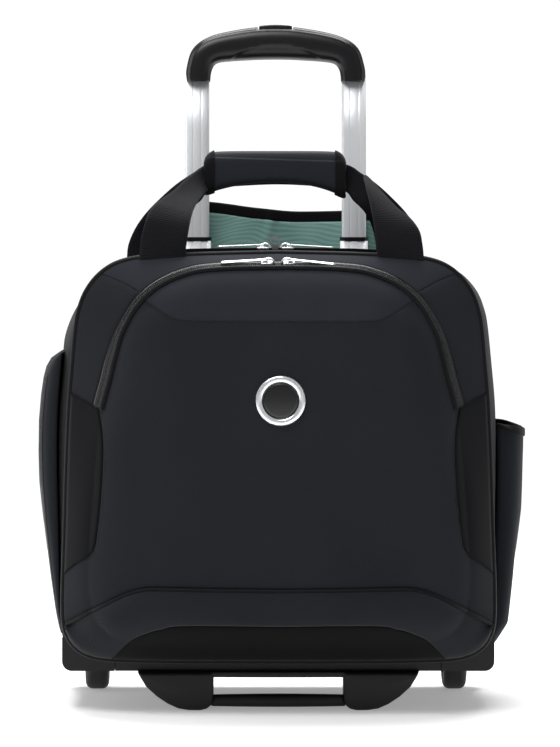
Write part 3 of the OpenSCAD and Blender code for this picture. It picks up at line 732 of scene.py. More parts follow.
def caseForm(x, z, nx, nz, y):
    # the side swells along its normal by swell (1 - ((y - middle) / half)^2)^0.6, most near the top
    s = np.clip((y - case["front"]) / (case["back"] - case["front"]), 0, 1)
    belly = np.clip(1 - (2 * s - 1)**2, 0, 1)**0.6
    high, foot = swellAt(z)
    swell = np.where(x > 0, case["swellRight"], case["swellLeft"] * (1 - 0.8 * ease((z - 296) / 50))) * high
    out = belly * (swell * foot * nx**2 - case["sag"] * np.clip(nz, 0, 1)**2)
    ripple = 0.35 * np.sin(z / 23 + y / 31) * np.sin(y / 17 + x / 40) * belly
    welt = -0.9 * (np.exp(-np.abs(s) * 60) + np.exp(-np.abs(1 - s) * 60))
    out = out + ripple + welt
    return np.stack([x + nx * out, np.broadcast_to(y, x.shape), z + nz * out], -1)


loop = evenly(frameLoop, 560, closed=True)
tangent = unit(np.roll(loop, -1, 0) - np.roll(loop, 1, 0))
turn = 1 if tangent[5, 0] > 0 else -1
normal = np.stack([-tangent[:, 1], tangent[:, 0]], 1) * turn
depths = np.concatenate([[-49.0, -48.4, -47.2, -45], np.linspace(-41, 84, 56), np.linspace(87, 107, 9),
                         [109.5, 110.5, 111.0]])
shell = np.stack([caseForm(loop[:, 0], loop[:, 1], normal[:, 0], normal[:, 1], d) for d in depths])
v, f, uv = gridParts(shell, closeU=True, flip=turn > 0)
centre = v[f].mean(1)
# openings: the well round the pull handle and the two places over the wheels
well = (np.abs(centre[:, 0]) < 92) & (centre[:, 1] > 86) & (centre[:, 2] > 300)
foot = (centre[:, 2] < 52) & (np.abs(centre[:, 0]) > 126) & (centre[:, 1] > 58)
gusset = meshOf("case_gusset_fabric", [(v, f[~(well | foot)], uv)])
finishPiece(gusset, "case", ["case_gusset", "case_top"], twill, case["cloth"])
backLine = np.insert(evenly(frameLoop, 600, closed=True), 1, piping["rearY"], axis=1)
backBead = addSweep("rear_piping_bead", backLine, ringProfile(piping["rear"], 10), (0, 1, 0), closed=True)
finishPiece(backBead, "case", [], pipingCloth)
wellSide = [(93, 112, 372.6), (93, 92, 372.4), (91, 86.5, 372.8), (60, 86, 374)]
wellLine = [(-x, y, z) for x, y, z in wellSide] + [(0, 86, 374.6)] + wellSide[::-1]
wellEdge = evenly(smoothLine(wellLine, 200), 160)
wellTape = addSweep("well_binding", wellEdge, barProfile(5, 2.2, 1.0, 4), (0, 0, 1))
finishPiece(wellTape, "case", [], bindingCloth)

# main zip between case and lid
mainZip = {"y": -54.6, "foot": 70, "inset": 0.2, "tape": (0.2, 6.4, 11.5), "teethAt": 1.0}
zipLoop = np.vstack([frameRight[::-1] * [-1, 1], frameRight[1:]])
zipLine = evenly(zipLoop[zipLoop[:, 1] > mainZip["foot"]], 560)
zipTangent = unit(np.gradient(zipLine, axis=0))
zipOut = np.stack([-zipTangent[:, 1], zipTangent[:, 0]], 1)
zipCentre = len(zipLine) // 2
zipOut = zipOut if zipOut[zipCentre, 1] > 0 else -zipOut
mainPath = np.insert(zipLine, 1, mainZip["y"], axis=1)
mainPath[:, [0, 2]] -= zipOut * mainZip["inset"]
mainNormal = np.insert(zipOut, 1, 0.0, axis=1)
zipSide = 1 if np.cross(np.gradient(mainPath, axis=0), mainNormal)[zipCentre, 1] > 0 else -1
start, caseWidth, lidWidth = (zipSide * width for width in mainZip["tape"])
zipHalf("main_zip_case_half", "case", "main_zip_case_side", mainPath, mainNormal, (start, caseWidth),
        mainZip["teethAt"] * zipSide, teeth["main"])
zipHalf("main_zip_lid_half", "lid", "main_zip_lid_side", mainPath, mainNormal, (-lidWidth, -start),
        -mainZip["teethAt"] * zipSide, teeth["main"])
print("stage: case and main zip")

# back of the case and the raised rear panel: lining, cloth and binding, each a drop below the top line
rearPanel = {"foot": 60, "lining": (8.2, 113.2), "cloth": (6.0, 114.6), "binding": (4.6, 114.0),
             "coverY": 112.2, "coverBulge": 1.6}
topLine = smoothLine([(-97, 411), (-90, 415.6), (-80, 417.4), (-56.6, 416.3), (-40, 414.4), (-23.5, 412),
                      (-7.2, 410.2), (9.2, 408.5), (25.6, 408), (56.6, 408.6), (80, 409.4), (91, 408),
                      (97, 403)], 161)
rearX = np.linspace(-97, 97, 161)
topZ = np.interp(rearX, topLine[:, 0], topLine[:, 1])
vs = np.linspace(0, 1, 120)[:, None]


def rearSheet(drop, y0):
    # flat from the foot to the top line less drop; above the case it waves and has one soft crease
    z = rearPanel["foot"] + (topZ[None] - drop - rearPanel["foot"]) * vs
    x = np.broadcast_to(rearX[None], z.shape)
    wave = (0.9 * np.sin(x / 13 + z / 40) + 0.7 * np.sin(x / 27 - z / 23)) * ease((z - 352) / 30)
    crease = -1.6 * np.exp(-((x + 5 - (z - 390) * 0.2) / 4.5)**2) * ease((z - 366) / 26)
    return np.stack([x, y0 + wave * 0.9 + crease, z], -1)


finishPiece(addGrid("rear_panel_lining", rearSheet(*rearPanel["lining"])), "case", ["rear_panel"],
            lining, 0.0006, 0)
finishPiece(addGrid("rear_panel_cloth", rearSheet(*rearPanel["cloth"])), "case", [], plain,
            0.0012, 0)
wide = evenly(frameRight[::-1], 200)
# across the back x = half width k, y = coverY + coverBulge (1 - k^6), k from side to side
coverX = np.linspace(-0.995, 0.995, 90)
coverY = rearPanel["coverY"] + rearPanel["coverBulge"] * (1 - np.abs(coverX)**6)
cover = np.stack([np.stack([wide[:, 0] * k, np.full(len(wide), y), wide[:, 1]], -1)
                  for k, y in zip(coverX, coverY)], 1)
cover = cover[(cover[:, 0, 2] > 46)]
finishPiece(addGrid("rear_cover_cloth", cover), "case", [], plain, 0.0012, 0)
binding = addSweep("rear_panel_tape", rearSheet(*rearPanel["binding"])[-1], barProfile(9.6, 3.8, 1.7, 5),
                   (0, 0, 1))
finishPiece(binding, "case", ["rear_panel_binding"], bindingCloth)
print("stage: rear panel")


def wallAt(z, side):
    # half width of the swollen case at height z
    x = np.interp(z, frameRight[::-1, 1], frameRight[::-1, 0])
    high, foot = swellAt(z)
    return x + (case["swellRight"] if side > 0 else case["swellLeft"]) * high * foot


# how far each side pocket reaches from the middle, by height (z, x)
leftReach = np.array([(40, 174), (48, 176), (54, 178), (76, 182.3), (109, 188.0), (151, 194.3), (184, 197.6),
                      (209, 198.6), (234, 198.4), (255, 196.4), (270, 194.0), (279, 191.6), (286, 187.6),
                      (290.5, 181.5), (292.5, 176)])
rightReach = np.array([(50, 181), (54, 183.6), (68, 191.8), (109.4, 196.8), (167.6, 202.6), (223.3, 205.0),
                       (236, 205.2)])
pockets = {"left": (-42, 84), "right": (-30, 72), "cloth": 0.0016, "rightFoot": 50, "rightTop": 231.5,
           "mouthDip": 8.5}


def pocketSkin(reach, side, z, y0, y1, steps=90, power=3.2):
    # across the depth the skin stands off the wall by stand (1 - |s|^power)^(1 / power), s from -1 to 1
    s = np.linspace(-1, 1, steps)
    s = np.sin(s * np.pi / 2)
    wall = np.minimum(wallAt(z, side), np.interp(z, reach[:, 0], reach[:, 1])) - 1.5
    stand = np.interp(z, reach[:, 0], reach[:, 1]) - wall
    prof = (1 - np.abs(s)**power)**(1 / power)
    fold = np.sin(s[None] * 7 + z[:, None] / 60) * 0.5 + np.sin(z[:, None] / 19 + s[None] * 3) * 0.5
    soft = 1 + 0.05 * fold * (1 - s[None]**2)
    x = wall[:, None] + np.maximum(stand, 0.3)[:, None] * prof[None] * soft
    y = (y0 + y1) / 2 + (y1 - y0) / 2 * s[None]
    return np.stack([x * side, np.broadcast_to(y, x.shape), np.broadcast_to(z[:, None], x.shape)], -1)


leftHeights = np.concatenate([np.linspace(46, 270, 94), np.linspace(272, 292.5, 26)])
leftSkin = pocketSkin(leftReach, -1, leftHeights, *pockets["left"])
finishPiece(addGrid("left_pocket_cloth", leftSkin), "case", ["left_pocket"], pocketCloth,
            pockets["cloth"])
# its zip runs up the skin, one column in from the front
pick = 17
sideZipPath = leftSkin[6:96, pick]
sideZipOut = unit(np.cross(leftSkin[6:96, pick + 1] - leftSkin[6:96, pick - 1],
                           np.gradient(sideZipPath, axis=0)))
sideZipOut = sideZipOut if sideZipOut[40, 0] < 0 else -sideZipOut
sideZipPath = sideZipPath + sideZipOut * 0.5
sideZip = meshOf("left_pocket_zip_teeth", [strip(sideZipPath, sideZipOut, -4.5, 4.5, 0.8)]
                 + [coil(sideZipPath, sideZipOut, gap, teeth["side"]) for gap in (0.9, -0.9)])
finishPiece(sideZip, "case", ["left_pocket_zip"], coilPlastic)

rightHeights = np.linspace(pockets["rightFoot"], 236, 90)
rightSkin = pocketSkin(rightReach, 1, rightHeights, *pockets["right"])
# the mouth slopes down towards the outside
dip = np.abs(rightSkin[-1, :, 0] - rightSkin[-1, 0, 0]) / 26
scale = ((pockets["rightTop"] - pockets["mouthDip"] * dip) - pockets["rightFoot"]) / np.ptp(rightHeights)
rightSkin[..., 2] = pockets["rightFoot"] + (rightSkin[..., 2] - pockets["rightFoot"]) * scale[None]
finishPiece(addGrid("right_pocket_cloth", rightSkin, flip=True), "case", ["right_pocket"],
            pocketCloth, pockets["cloth"])
mouth = addSweep("right_pocket_tape", rightSkin[-1] + [0, 0, 0.4], barProfile(2.6, 7.0, 1.1, 4), (1, 0, 0))
finishPiece(mouth, "case", [], bindingCloth)
print("stage: side pockets")


def band(outerEdge, innerEdge, count=150, thick=1.7):
    # a strip of webbing between two edges, thick across; the edges are rounded a little
    a = smoothLine(outerEdge, count)
    b = smoothLine(innerEdge, count)
    mid, across = (a + b) / 2, (b - a) / 2
    n = unit(np.cross(np.gradient(mid, axis=0), across))
    k = np.linspace(-1, 1, 26)
    front = [mid + across * q + n * thick / 2 * (1 - abs(q)**14) for q in k]
    back = [mid + across * q - n * thick / 2 * (1 - abs(q)**14) for q in k[::-1]]
    grid = np.stack(front + back, 1)
    v, f, uv = gridParts(grid, closeU=True)
    run = runAlong(mid)
    side = np.concatenate([k, k[::-1]]) * 19
    uv = np.stack(np.broadcast_arrays(side[None], run[:, None]), -1)
    closing = []
    for row, rev in ((0, True), (count - 1, False)):
        index = row * 2 * len(k) + np.arange(2 * len(k))
        front, back = index[:len(k)], index[::-1][:len(k)]
        quads = np.stack([front[:-1], front[1:], back[1:], back[:-1]], 1)
        closing.append(quads if not rev else quads[:, ::-1])
    return v, f, uv.reshape(-1, 2) * mm, tuple(closing)


def flipX(points):
    return [(-a, b, c) for a, b, c in points]


leftOuter = [(-113.5, -71, 367.7), (-112.7, -71, 375.8), (-111.9, -71, 385.5), (-108.7, -69.5, 397.7),
             (-106.3, -66, 405.1), (-101.5, -59, 412.4), (-95.5, -50, 417.4), (-85.5, -36, 424.9),
             (-75.7, -22, 434.1), (-65.1, -8, 442.6), (-57, -1, 446.5), (-40, 0.2, 450)]
leftInner = [(-74.9, -71, 368), (-75.2, -71, 374.2), (-74.9, -71, 379), (-73.5, -70, 388.8),
             (-72.1, -67, 396.9), (-70.7, -61, 403.5), (-68.9, -52, 409.2), (-66.5, -41, 414.2),
             (-63.3, -28, 419.2), (-59.3, -12, 423.4), (-54.3, -2, 426.5), (-40, 0.2, 428)]
rightOuter = [(118.1, -71, 367.2), (117.7, -71, 374.2), (116.9, -71, 380.7), (115.3, -69.5, 389.6),
              (111.8, -66, 396.5), (106.4, -60, 403), (97.9, -52, 410), (88.5, -42, 419.9), (79.8, -34, 429.9),
              (75.4, -30, 434.6), (72.8, -28.5, 436.8)]
rightInner = [(79.9, -71, 369.2), (79.6, -71, 375.8), (79.1, -71, 380.7), (78, -70, 390.4), (76.8, -68, 400.2),
              (75.3, -64, 409.1), (73.7, -59, 417.3), (72.1, -53, 424.7), (71.1, -45, 430.5),
              (70.4, -36, 434.4),
              (70.6, -30, 436.2)]
rearOuterR = [(123, 70, 369), (122.5, 70, 380), (119, 68, 394), (110, 62, 407), (97, 50, 420), (84, 36, 431),
              (70, 18, 440), (60, 9.5, 446), (40, 8.6, 451)]
rearInnerR = [(85, 70, 373), (84.5, 70, 381), (82.5, 68, 391), (79, 61, 400), (74.5, 50, 407), (69.5, 37, 412),
              (63.5, 22, 417), (57, 11, 424), (40, 8.6, 428)]
rearOuterL = [(a - 4 * ease((400 - c) / 30), b, c - 2 * (c < 372)) for a, b, c in flipX(rearOuterR)]
frontInWrap = ([(-44, 0.2, 450), (0, 0.2, 451.5), (40, 0.2, 450)],
               [(-44, 0.2, 428), (0, 0.2, 430), (40, 0.2, 428)])
rearInWrap = ([(-44, 8.6, 451), (0, 8.6, 452), (44, 8.6, 451)],
              [(-44, 8.6, 428), (0, 8.6, 430), (44, 8.6, 428)])
for side, left, right, inWrap in (
        ("front", (leftOuter, leftInner), (rightOuter, rightInner), frontInWrap),
        ("rear", (rearOuterL, flipX(rearInnerR)), (rearOuterR, rearInnerR), rearInWrap)):
    strap = meshOf(f"{side}_webbing", [band(*left), band(right[0][::-1], right[1][::-1]),
                                       band(*inWrap, count=40)])
    finishPiece(strap, f"{side}_handle", [f"{side}_strap"], webCloth)

wrapShape = {"x": -2, "half": 58, "y": 1.5, "deep": 10.2, "low": 431.2, "high": 457.8, "square": 0.66}
wrapX = np.concatenate([[-60.3, -60.1, -59.6, -58.6, -57], np.linspace(-55, 51, 104),
                        [53, 54.5, 55.4, 55.9, 56.0]])


def roundEnd(s, start, width):
    # 0 up to start, then a quarter circle up to 1 over width
    return 1 - np.sqrt(np.clip(1 - np.clip((np.abs(s) - start) / width, 0, 1)**2, 0, 1))


def wrapSection(x, a, grow=0.0):
    # a runs round an open section: low rear lip, underside, front, top, high rear lip
    s = (x - wrapShape["x"]) / wrapShape["half"]
    low = wrapShape["low"] - 9.8 * np.abs(s)**2.3 - 2.6 * (s > 0) * np.abs(s)**3
    low = low + 2.0 * roundEnd(s, 0.93, 0.075)
    high = wrapShape["high"] - 1.6 * np.abs(s)**6
    high = high - 9.0 * roundEnd(s, 0.83, 0.175)
    mid, tall = (high + low) / 2, (high - low) / 2 + grow
    deep = wrapShape["deep"] - 0.5 * (1 - np.abs(s)**8) + grow
    ca, sa = np.cos(a), np.sin(a)
    y = wrapShape["y"] + deep * np.sign(ca) * np.abs(ca)**wrapShape["square"]
    z = mid + tall * np.sign(sa) * np.abs(sa)**wrapShape["square"]
    fold = ease((z - (450.2 - 1.8 * s)) / 1.0) * (ca < 0.4)
    crease = (0.5 * np.exp(-((x - 8 + (z - 436) * 0.5) / 3.0)**2)
              + 0.35 * np.exp(-((x + 9 - (z - 436)) / 2.4)**2))
    crease = crease * np.exp(-((z - 434) / 7)**2) * (ca < 0)
    puff = 0.5 * np.sin(x / 9.0 + 2 * sa) * (sa < -0.2) * (1 - np.abs(s)**2)
    back = 0.9 * fold - crease - puff * 0.4
    return y + back * (ca < 0.4), z


angle = np.radians(np.linspace(-62, -298, 110))  # the wrap is open at the back


def wrapRows(xs, grow=0.0):
    rows = []
    for x in xs:
        across = np.full(len(angle), x)
        rows.append(np.stack([across, *wrapSection(across, angle, grow)], -1))
    return np.stack(rows)


wrapCentre = (-2, 2, 440)
wrap = finishPiece(addGrid("grip_wrap_cloth", wrapRows(wrapX)), "front_handle", ["grip_wrap"],
                   grainCloth, 0.0022, centre=wrapCentre)
hemX = ((-60.5, -60.2, -59.4, -58, -56, -54, -52.6, -52.2), (48.0, 48.4, 50, 52, 54, 55.4, 56.1, 56.4))
hems = meshOf("grip_wrap_hems", [gridParts(wrapRows(np.array(xs), 0.7)) for xs in hemX])
finishPiece(hems, "front_handle", [], bindingCloth, 0.0016, 0, wrapCentre)
print("stage: carry handle")

# outer and inner edge of the pull handle's grip, in pairs (x, z), from one leg to the other
gripPairs = [((-76.2, 519.2), (-56.0, 519.2)), ((-76.8, 525.4), (-55.4, 525.4)),
             ((-76.1, 532.3), (-54.4, 529.5)), ((-72.6, 544.6), (-52.6, 533)),
             ((-65.6, 552.8), (-50, 534.9)), ((-54.5, 558.7), (-45.5, 536)),
             ((-40.8, 562.2), (-36.6, 536.8)), ((-24.6, 565.0), (-23, 537.6)), ((-13, 566.2), (-13, 538)),
             ((0, 566.6), (0, 538.2)), ((13.4, 566.2), (13.2, 538)), ((25, 564.8), (23, 537.5)),
             ((41, 562), (37, 536.6)), ((54.6, 558.4), (45.5, 535.7)), ((65.6, 552.9), (50, 534.6)),
             ((72.3, 545.4), (52.6, 532.8)), ((76.0, 533.4), (54.6, 529.5)), ((77.0, 527), (55.6, 525.4)),
             ((76.6, 519.2), (56.2, 519.2))]
gripShape = {"y": 98, "deep": 12.0, "rib": 0.55, "lens": 0.8, "buttonSeat": 2.6}


def gripRows(count=170, around=72):
    # x, z = middle + half cos' a, y = 98 + deep sin' a, with cos' = sign(cos) |cos|^0.72
    outerPts = smoothLine([(a[0], a[1], b[0], b[1]) for a, b in gripPairs], count)
    o, i = outerPts[:, :2], outerPts[:, 2:]
    mid, half = (o + i) / 2, (o - i) / 2
    a = np.linspace(0, 2 * np.pi, around, endpoint=False)
    ca = np.sign(np.cos(a)) * np.abs(np.cos(a))**0.72
    sa = np.sign(np.sin(a)) * np.abs(np.sin(a))**0.72
    grid = np.zeros((count, around, 3))
    xz = mid[:, None] + half[:, None] * ca[None, :, None]
    grid[..., 0], grid[..., 2] = xz[..., 0], xz[..., 1]
    grid[..., 1] = gripShape["y"] + gripShape["deep"] * sa[None]
    rib = np.exp(-((ca - 0.80) / 0.035)**2) * (sa < 0)
    grid[..., 1] += gripShape["rib"] * rib[None]
    lens = 1 - (grid[..., 0] / 40)**2 - ((grid[..., 2] - 534) / 15.5)**2
    grid[..., 1] += gripShape["lens"] * ease(lens / 0.10) * (sa < -0.2)[None]
    rest = ease((15.6 - np.abs(grid[..., 0])) / 0.9) * (ca > 0.86)[None]
    grid[..., 2] -= gripShape["buttonSeat"] * rest
    return grid


finishPiece(meshOf("grip_moulding", [capped(gripRows())]), "pull_handle", ["grip_body", "grip_cover"],
            gripPlastic)


def roundedBlock(centre, size, r, crown=0.0, steps=9):
    # point = core corner + r * unit direction, on a cube-sphere; crown lifts the middle of the top
    parts = []
    k = np.tan(np.linspace(-1, 1, steps) * np.pi / 4)
    u, w = np.meshgrid(k, k)
    core = np.array(size) / 2 - r
    for axis in range(3):
        for sign in (-1, 1):
            d = np.zeros(u.shape + (3,))
            d[..., axis] = sign
            d[..., (axis + 1) % 3] = u
            d[..., (axis + 2) % 3] = w * sign
            n = unit(d)
            reach = np.where(np.abs(d) > 0.999, np.sign(d), np.clip(d * 1.6, -1, 1))
            p = reach * core + n * r
            if crown:
                p[..., 2] += crown * np.clip(1 - (p[..., 0] / (size[0] / 2))**2, 0, 1) * (n[..., 2] > 0.3)
            parts.append(gridParts(np.array(centre) + p))
    return parts


knob = meshOf("release_button_cap", roundedBlock((0, 98, 564.3), (28.4, 14.4, 5.6), 1.2, crown=0.9))
finishPiece(knob, "release_button", ["release_button"], gripPlastic)


def tubeProfile(w, d, groove=0.5, count=120):
    # a superellipse w by d, with two grooves along its front and back
    a = np.linspace(0, 2 * np.pi, count, endpoint=False)
    x = w / 2 * np.sign(np.cos(a)) * np.abs(np.cos(a))**0.55
    y = d / 2 * np.sign(np.sin(a)) * np.abs(np.sin(a))**0.62
    cut = groove * (np.exp(-((np.abs(x) - w * 0.17) / 0.55)**2) + 0.35 * ease((np.abs(x) - w * 0.17) / 2))
    return np.stack([x, y - np.sign(y) * cut * (np.abs(y) > d * 0.3)], 1)


tubes = {"x": 67.2, "y": 98.0, "inner": (20.8, 11.2, 190, 525.3), "mid": (23.8, 14.2, 52, 382.8), "wall": 0.001}
for stage, body, wall in (("inner", "pull_handle", 0), ("mid", "middle_stage", tubes["wall"])):
    w, d, z0, z1 = tubes[stage]
    paths = [[(side * tubes["x"], tubes["y"], z) for z in np.linspace(z0, z1, 8)] for side in (-1, 1)]
    pair = meshOf(f"{stage}_tube_pair", [sweepParts(path, tubeProfile(w, d), (1, 0, 0), caps=not wall)
                                         for path in paths])
    finishPiece(pair, body, [f"{stage}_tubes"], aluminiumPaintedReflection, wall)
print("stage: pull handle")


def placed(parts, origin, turn):
    # local X runs outward along the track, Y across it and Z out of the cloth
    return [(np.array(origin) + v @ np.array(turn, float), *rest) for v, *rest in parts]


def sliderParts():
    # a rounded block with an arch of bar over it for the tab
    a = np.linspace(-0.15, np.pi + 0.15, 26)
    arch = np.stack([-1.5 + 4.2 * np.cos(a), a * 0, 1.5 + 3.4 * np.sin(a)], 1)
    bridge = sweepParts(arch, barProfile(2.6, 1.3, 0.5, 4), (0, 1, 0))
    return roundedBlock((0, 0, 1.05), (9.6, 6.4, 2.1), 0.9) + [bridge]


def tabParts(tilt):
    # a rounded eye and a flat bar that widens and drops by tan(tilt) along its length
    t = np.linspace(0, 1, 24)
    rod = np.stack([1.6 + 35.4 * t, t * 0, 3.8 - math.tan(math.radians(tilt)) * 36 * t], 1)
    wide = np.stack([1.0 + 0.25 * t, 0.9 + 0.25 * t], 1)
    return roundedBlock((1.0, 0, 3.2), (4.4, 4.6, 2.6), 1.1) + [
        sweepParts(rod, barProfile(2.7, 1.25, 0.5, 4), (0, 1, 0), grow=wide)]


# for each zip: x of both sliders, y, z, lean of the track and droop of each tab, in degrees
sliderSpots = {"main": ((-12.5, 7.8), -55.0, 376.15, 0.0, (2.5, 3.8)),
               "front": ((-9.8, 8.2), -84.0, 364.7, 29.0, (4.4, 7.0))}
for track, (spots, y, z, lean, tilts) in sliderSpots.items():
    c, d = math.cos(math.radians(lean)), math.sin(math.radians(lean))
    for x, side, tilt in zip(spots, ("left", "right"), tilts):
        turn = ((math.copysign(1, x), 0, 0), (0, c, d), (0, -d, c))
        body = meshOf(f"{track}_slider_{side}_metal", placed(sliderParts(), (x, y, z), turn))
        finishPiece(body, f"{track}_slider_{side}", [f"{track}_slider_{side}"], chromePaintedReflection)
        tab = meshOf(f"{track}_tab_{side}_metal", placed(tabParts(tilt), (x, y, z), turn))
        finishPiece(tab, f"{track}_tab_{side}", [f"{track}_tab_{side}"], chromePaintedReflection)


def lathe(name, profile, centre, steps=96):
    # profile points are (radius, y), turned about the Y axis through the centre
    a = np.linspace(0, 2 * np.pi, steps, endpoint=False)
    prof = np.array(profile, float)
    grid = np.stack([centre[0] + prof[:, None, 0] * np.cos(a),
                  np.broadcast_to(prof[:, None, 1], (len(prof), steps)),
                  centre[1] + prof[:, None, 0] * np.sin(a)], -1)
    v, f, uv = gridParts(grid, closeU=True)
    caps = ()
    if prof[-1, 0] < 2:
        last = (len(prof) - 1) * steps + np.arange(steps)
        v = np.vstack([v, [centre[0], prof[-1, 1], centre[1]]])
        uv = np.vstack([uv, uv[-1:]])
        caps = (np.stack([last, np.roll(last, -1), np.full(steps, len(v) - 1)], 1),)
    return meshOf(name, [(v, f, uv, caps)])


# badge: a plain ring round a dark disc
badge = {"centre": (1.0, 255.0),
         "ring": [(14.9, -108.5), (14.9, -111.6), (15.3, -112.2), (16.0, -112.6), (17.4, -112.75),
                  (18.8, -112.6), (19.6, -112.2), (20.0, -111.5), (20.0, -108.5)],
         "disc": [(15.0, -108.5), (15.0, -110.9), (12, -111.2), (8, -111.5), (4, -111.65), (1, -111.7)]}
finishPiece(lathe("badge_ring", badge["ring"], badge["centre"]), "pocket_flap", ["emblem_ring"],
            chromePaintedReflection)
finishPiece(lathe("badge_disc", badge["disc"], badge["centre"]), "pocket_flap", ["emblem_inlay"],
            inlay)
print("stage: sliders and badge")


def pillow(outline, y0, y1, r, steps=7, count=160):
    # the outline shrinks towards its middle by r (1 - sin q) while y moves by r (1 - cos q)
    edge = evenly(np.array(outline, float), count, closed=True)
    middle = (edge.max(0) + edge.min(0)) / 2
    n = (edge - middle) / ((edge.max(0) - edge.min(0)) / 2)
    rows = []
    for face, way, quarter in ((y0, 1, (0, np.pi / 2)), (y1, -1, (np.pi / 2, 0))):
        for q in np.linspace(*quarter, steps):
            flat = edge - n * r * (1 - math.sin(q))
            y = face + way * r * (1 - math.cos(q)) * 0.9
            rows.append(np.stack([flat[:, 0], np.full(count, y), flat[:, 1]], -1))
    return capped(np.stack(rows))


stand = {"front": -60.6, "back": -42, "round": 3.4}
lobe = [(114.8, 31.6), (114.2, 29.5), (108.1, 19.4), (99.1, 11.2), (90.1, 5.2), (81.6, 1.4), (73, 0.1), (64, 0),
        (58.5, 1.2), (55, 4), (53.4, 8), (52.8, 14), (52.8, 24), (52.8, 31.6)]
lobe = evenly(np.array(lobe + lobe[:1], float), 200)
lobes = [pillow(lobe * [side, 1], stand["front"], stand["back"], stand["round"]) for side in (1, -1)]
bars = (roundedBlock((0, -51.0, 7.4), (112, 13.5, 10.8), 4.2)
        + roundedBlock((0, -51.0, 29.2), (112, 17.0, 5.0), 1.4))
finishPiece(meshOf("front_stand_moulding", lobes + bars), "case", ["front_stand"], moulded)


def plate(inset, y, puff, floor=44.0, rings=34):
    # outline shrunk towards the middle ring by ring; y moves by puff (1 - k^4) with small waves
    edge = loop - normal * inset
    edge[:, 1] = np.maximum(edge[:, 1], floor)
    middle = np.array([0.0, 208.0])
    k = np.concatenate([[1.0, 0.992, 0.975], np.linspace(0.95, 0.02, rings)])
    flat = middle + (edge - middle)[None] * k[:, None, None]
    wave = 0.8 * np.sin(flat[..., 0] / 21 + 1) * np.sin(flat[..., 1] / 27) * (1 - k[:, None]**6)
    depth = y + puff * (1 - k[:, None]**4) + wave
    return np.stack([flat[..., 0], depth, flat[..., 1]], -1)


def closedPlate(name, grid, front=(), more=()):
    # rings from the rim inwards, closed by a fan at the middle; front is a tunnel of rings before them
    rows = np.concatenate([front, grid]) if len(front) else grid
    v, f, uv = gridParts(rows, closeU=True)
    last = (len(rows) - 1) * rows.shape[1] + np.arange(rows.shape[1])
    v = np.vstack([v, rows[-1].mean(0)])
    uv = np.vstack([uv, uv[-1:]])
    fan = np.stack([last, np.roll(last, -1), np.full(len(last), len(v) - 1)], 1)
    return meshOf(name, [(v, f, uv, (fan,))] + list(more))


inner = loop - normal * 5.5
inner[:, 1] = np.maximum(inner[:, 1], 47.5)
tunnel = np.stack([np.stack([inner[:, 0] + 0.6 * np.sin(d / 11 + inner[:, 1] / 19), np.full(len(inner), d),
                             inner[:, 1] + 0.4 * np.sin(inner[:, 0] / 17 + d / 13)], -1)
                   for d in np.linspace(-48.3, 81, 46)])
humps = [part for x in (152, -152) for part in roundedBlock((x, 70.5, 50), (44, 25, 21), 4)]
# inset, y, puff, floor
plates = {"case": (6.0, 81.8, -1.2, 48.0), "back": (4.6, 84.8, 0.6, 46.0), "divider": (4.4, -62.2, 1.2, 45.5)}
finishPiece(closedPlate("case_lining_cloth", plate(*plates["case"]), tunnel, humps), "case", ["case_lining"],
            lining, 0.0008, 0)
finishPiece(closedPlate("back_wall_cloth", plate(*plates["back"])), "case", ["back_wall"],
            plain, 0.0022, 0)
finishPiece(closedPlate("lid_divider_cloth", plate(*plates["divider"])), "lid", ["lid_divider"],
            lining, 0.0010, 0)

# hinge cloth under the lid, bending between the case and the lid
u = np.linspace(-130, 130, 120)
hingeRows = [np.stack([u, np.full(120, yy), np.full(120, 42.2 + 0.9 * math.sin((yy + 48) / 12 * math.pi))], -1)
             for yy in np.linspace(-60.0, -48.0, 14)]
hingeCloth = addGrid("hinge_cloth", np.stack(hingeRows))
faceOut(hingeCloth)
hingeCloth.data.materials.append(tapeCloth)
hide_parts("hinge_strip")
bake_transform(hingeCloth)
solid(hingeCloth, 0.0012, 0)


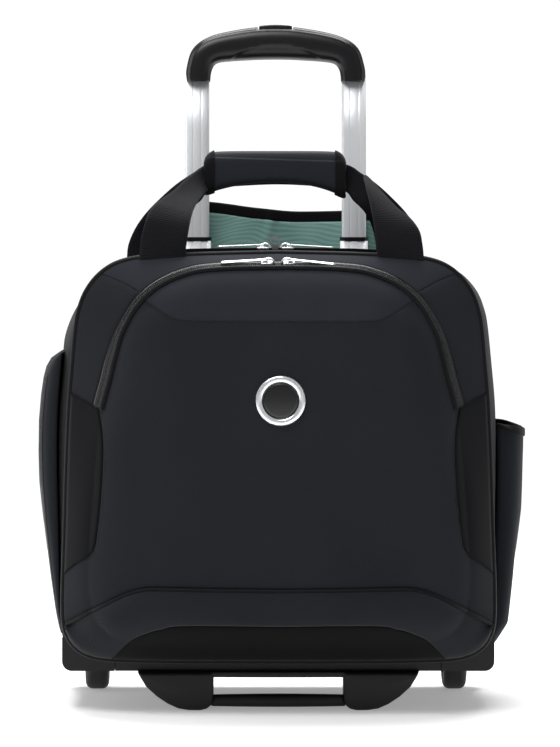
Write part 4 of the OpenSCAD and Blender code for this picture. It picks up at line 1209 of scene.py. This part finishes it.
def dress(node, material, bevel):
    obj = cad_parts[node]
    obj.data.materials.clear()
    obj.data.materials.append(material)
    if bevel:
        mod = obj.modifiers.new("edges", "BEVEL")
        mod.width, mod.segments, mod.limit_method = bevel * mm, 3, "ANGLE"
        mod.angle_limit = math.radians(40)


for node, material, bevel in (
        ("base_tray", moulded, 0.8), ("corner_guard_left", moulded, 1.0), ("corner_guard_right", moulded, 1.0),
        ("base_screws", steel, 0.2), ("outer_tubes", aluminiumPaintedReflection, 0),
        ("tube_brackets", moulded, 0.4), ("mid_collars", moulded, 0.4), ("lock_eyelet", steel, 0.3),
        ("axles", steel, 0.2), ("lid_frame", moulded, 0.3), ("hub_left", hubPlastic, 0.3),
        ("hub_right", hubPlastic, 0.3), ("tyre_left", rubber, 0), ("tyre_right", rubber, 0)):
    dress(node, material, bevel)

# button spring, a helix: x = radius cos t, y = radius sin t, z rising evenly with t
# at full press its top turn still meets the underside of the cap, so keep would have to be smaller
button = {"radius": 3.2, "turns": 5, "foot": 555.0, "rise": 6.5, "wire": 0.45, "keep": 0.6}
t = np.linspace(0, 2 * button["turns"] * np.pi, 181)
springPath = np.stack([button["radius"] * np.cos(t), 98 + button["radius"] * np.sin(t),
                       button["foot"] + button["rise"] * t / t[-1]], 1)
spring = finishPiece(addSweep("button_spring_wire", springPath, ringProfile(button["wire"], 10), (0, 0, 1)),
                     "pull_handle", ["button_spring"], steel)
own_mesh(spring)
print("stage: small parts and inside")

# floor, part of the studio and not of the case
floorMesh = bpy.data.meshes.new("floor")
floorMesh.from_pydata([(-2, -2.4, 0), (2, -2.4, 0), (2, 1.5, 0), (-2, 1.5, 0)], [], [(0, 1, 2, 3)])
floor = bpy.data.objects.new("floor", floorMesh)
scene.collection.objects.link(floor)
floorLook = Nodes("white floor")
floorLook.shader.inputs["Base Color"].default_value = (0.93, 0.93, 0.93, 1)
floorLook.shader.inputs["Roughness"].default_value = 0.5
floorLook.shader.inputs["Emission Color"].default_value = (1, 1, 1, 1)
floorLook.shader.inputs["Emission Strength"].default_value = 0.28
floorMesh.materials.append(floorLook.mat)
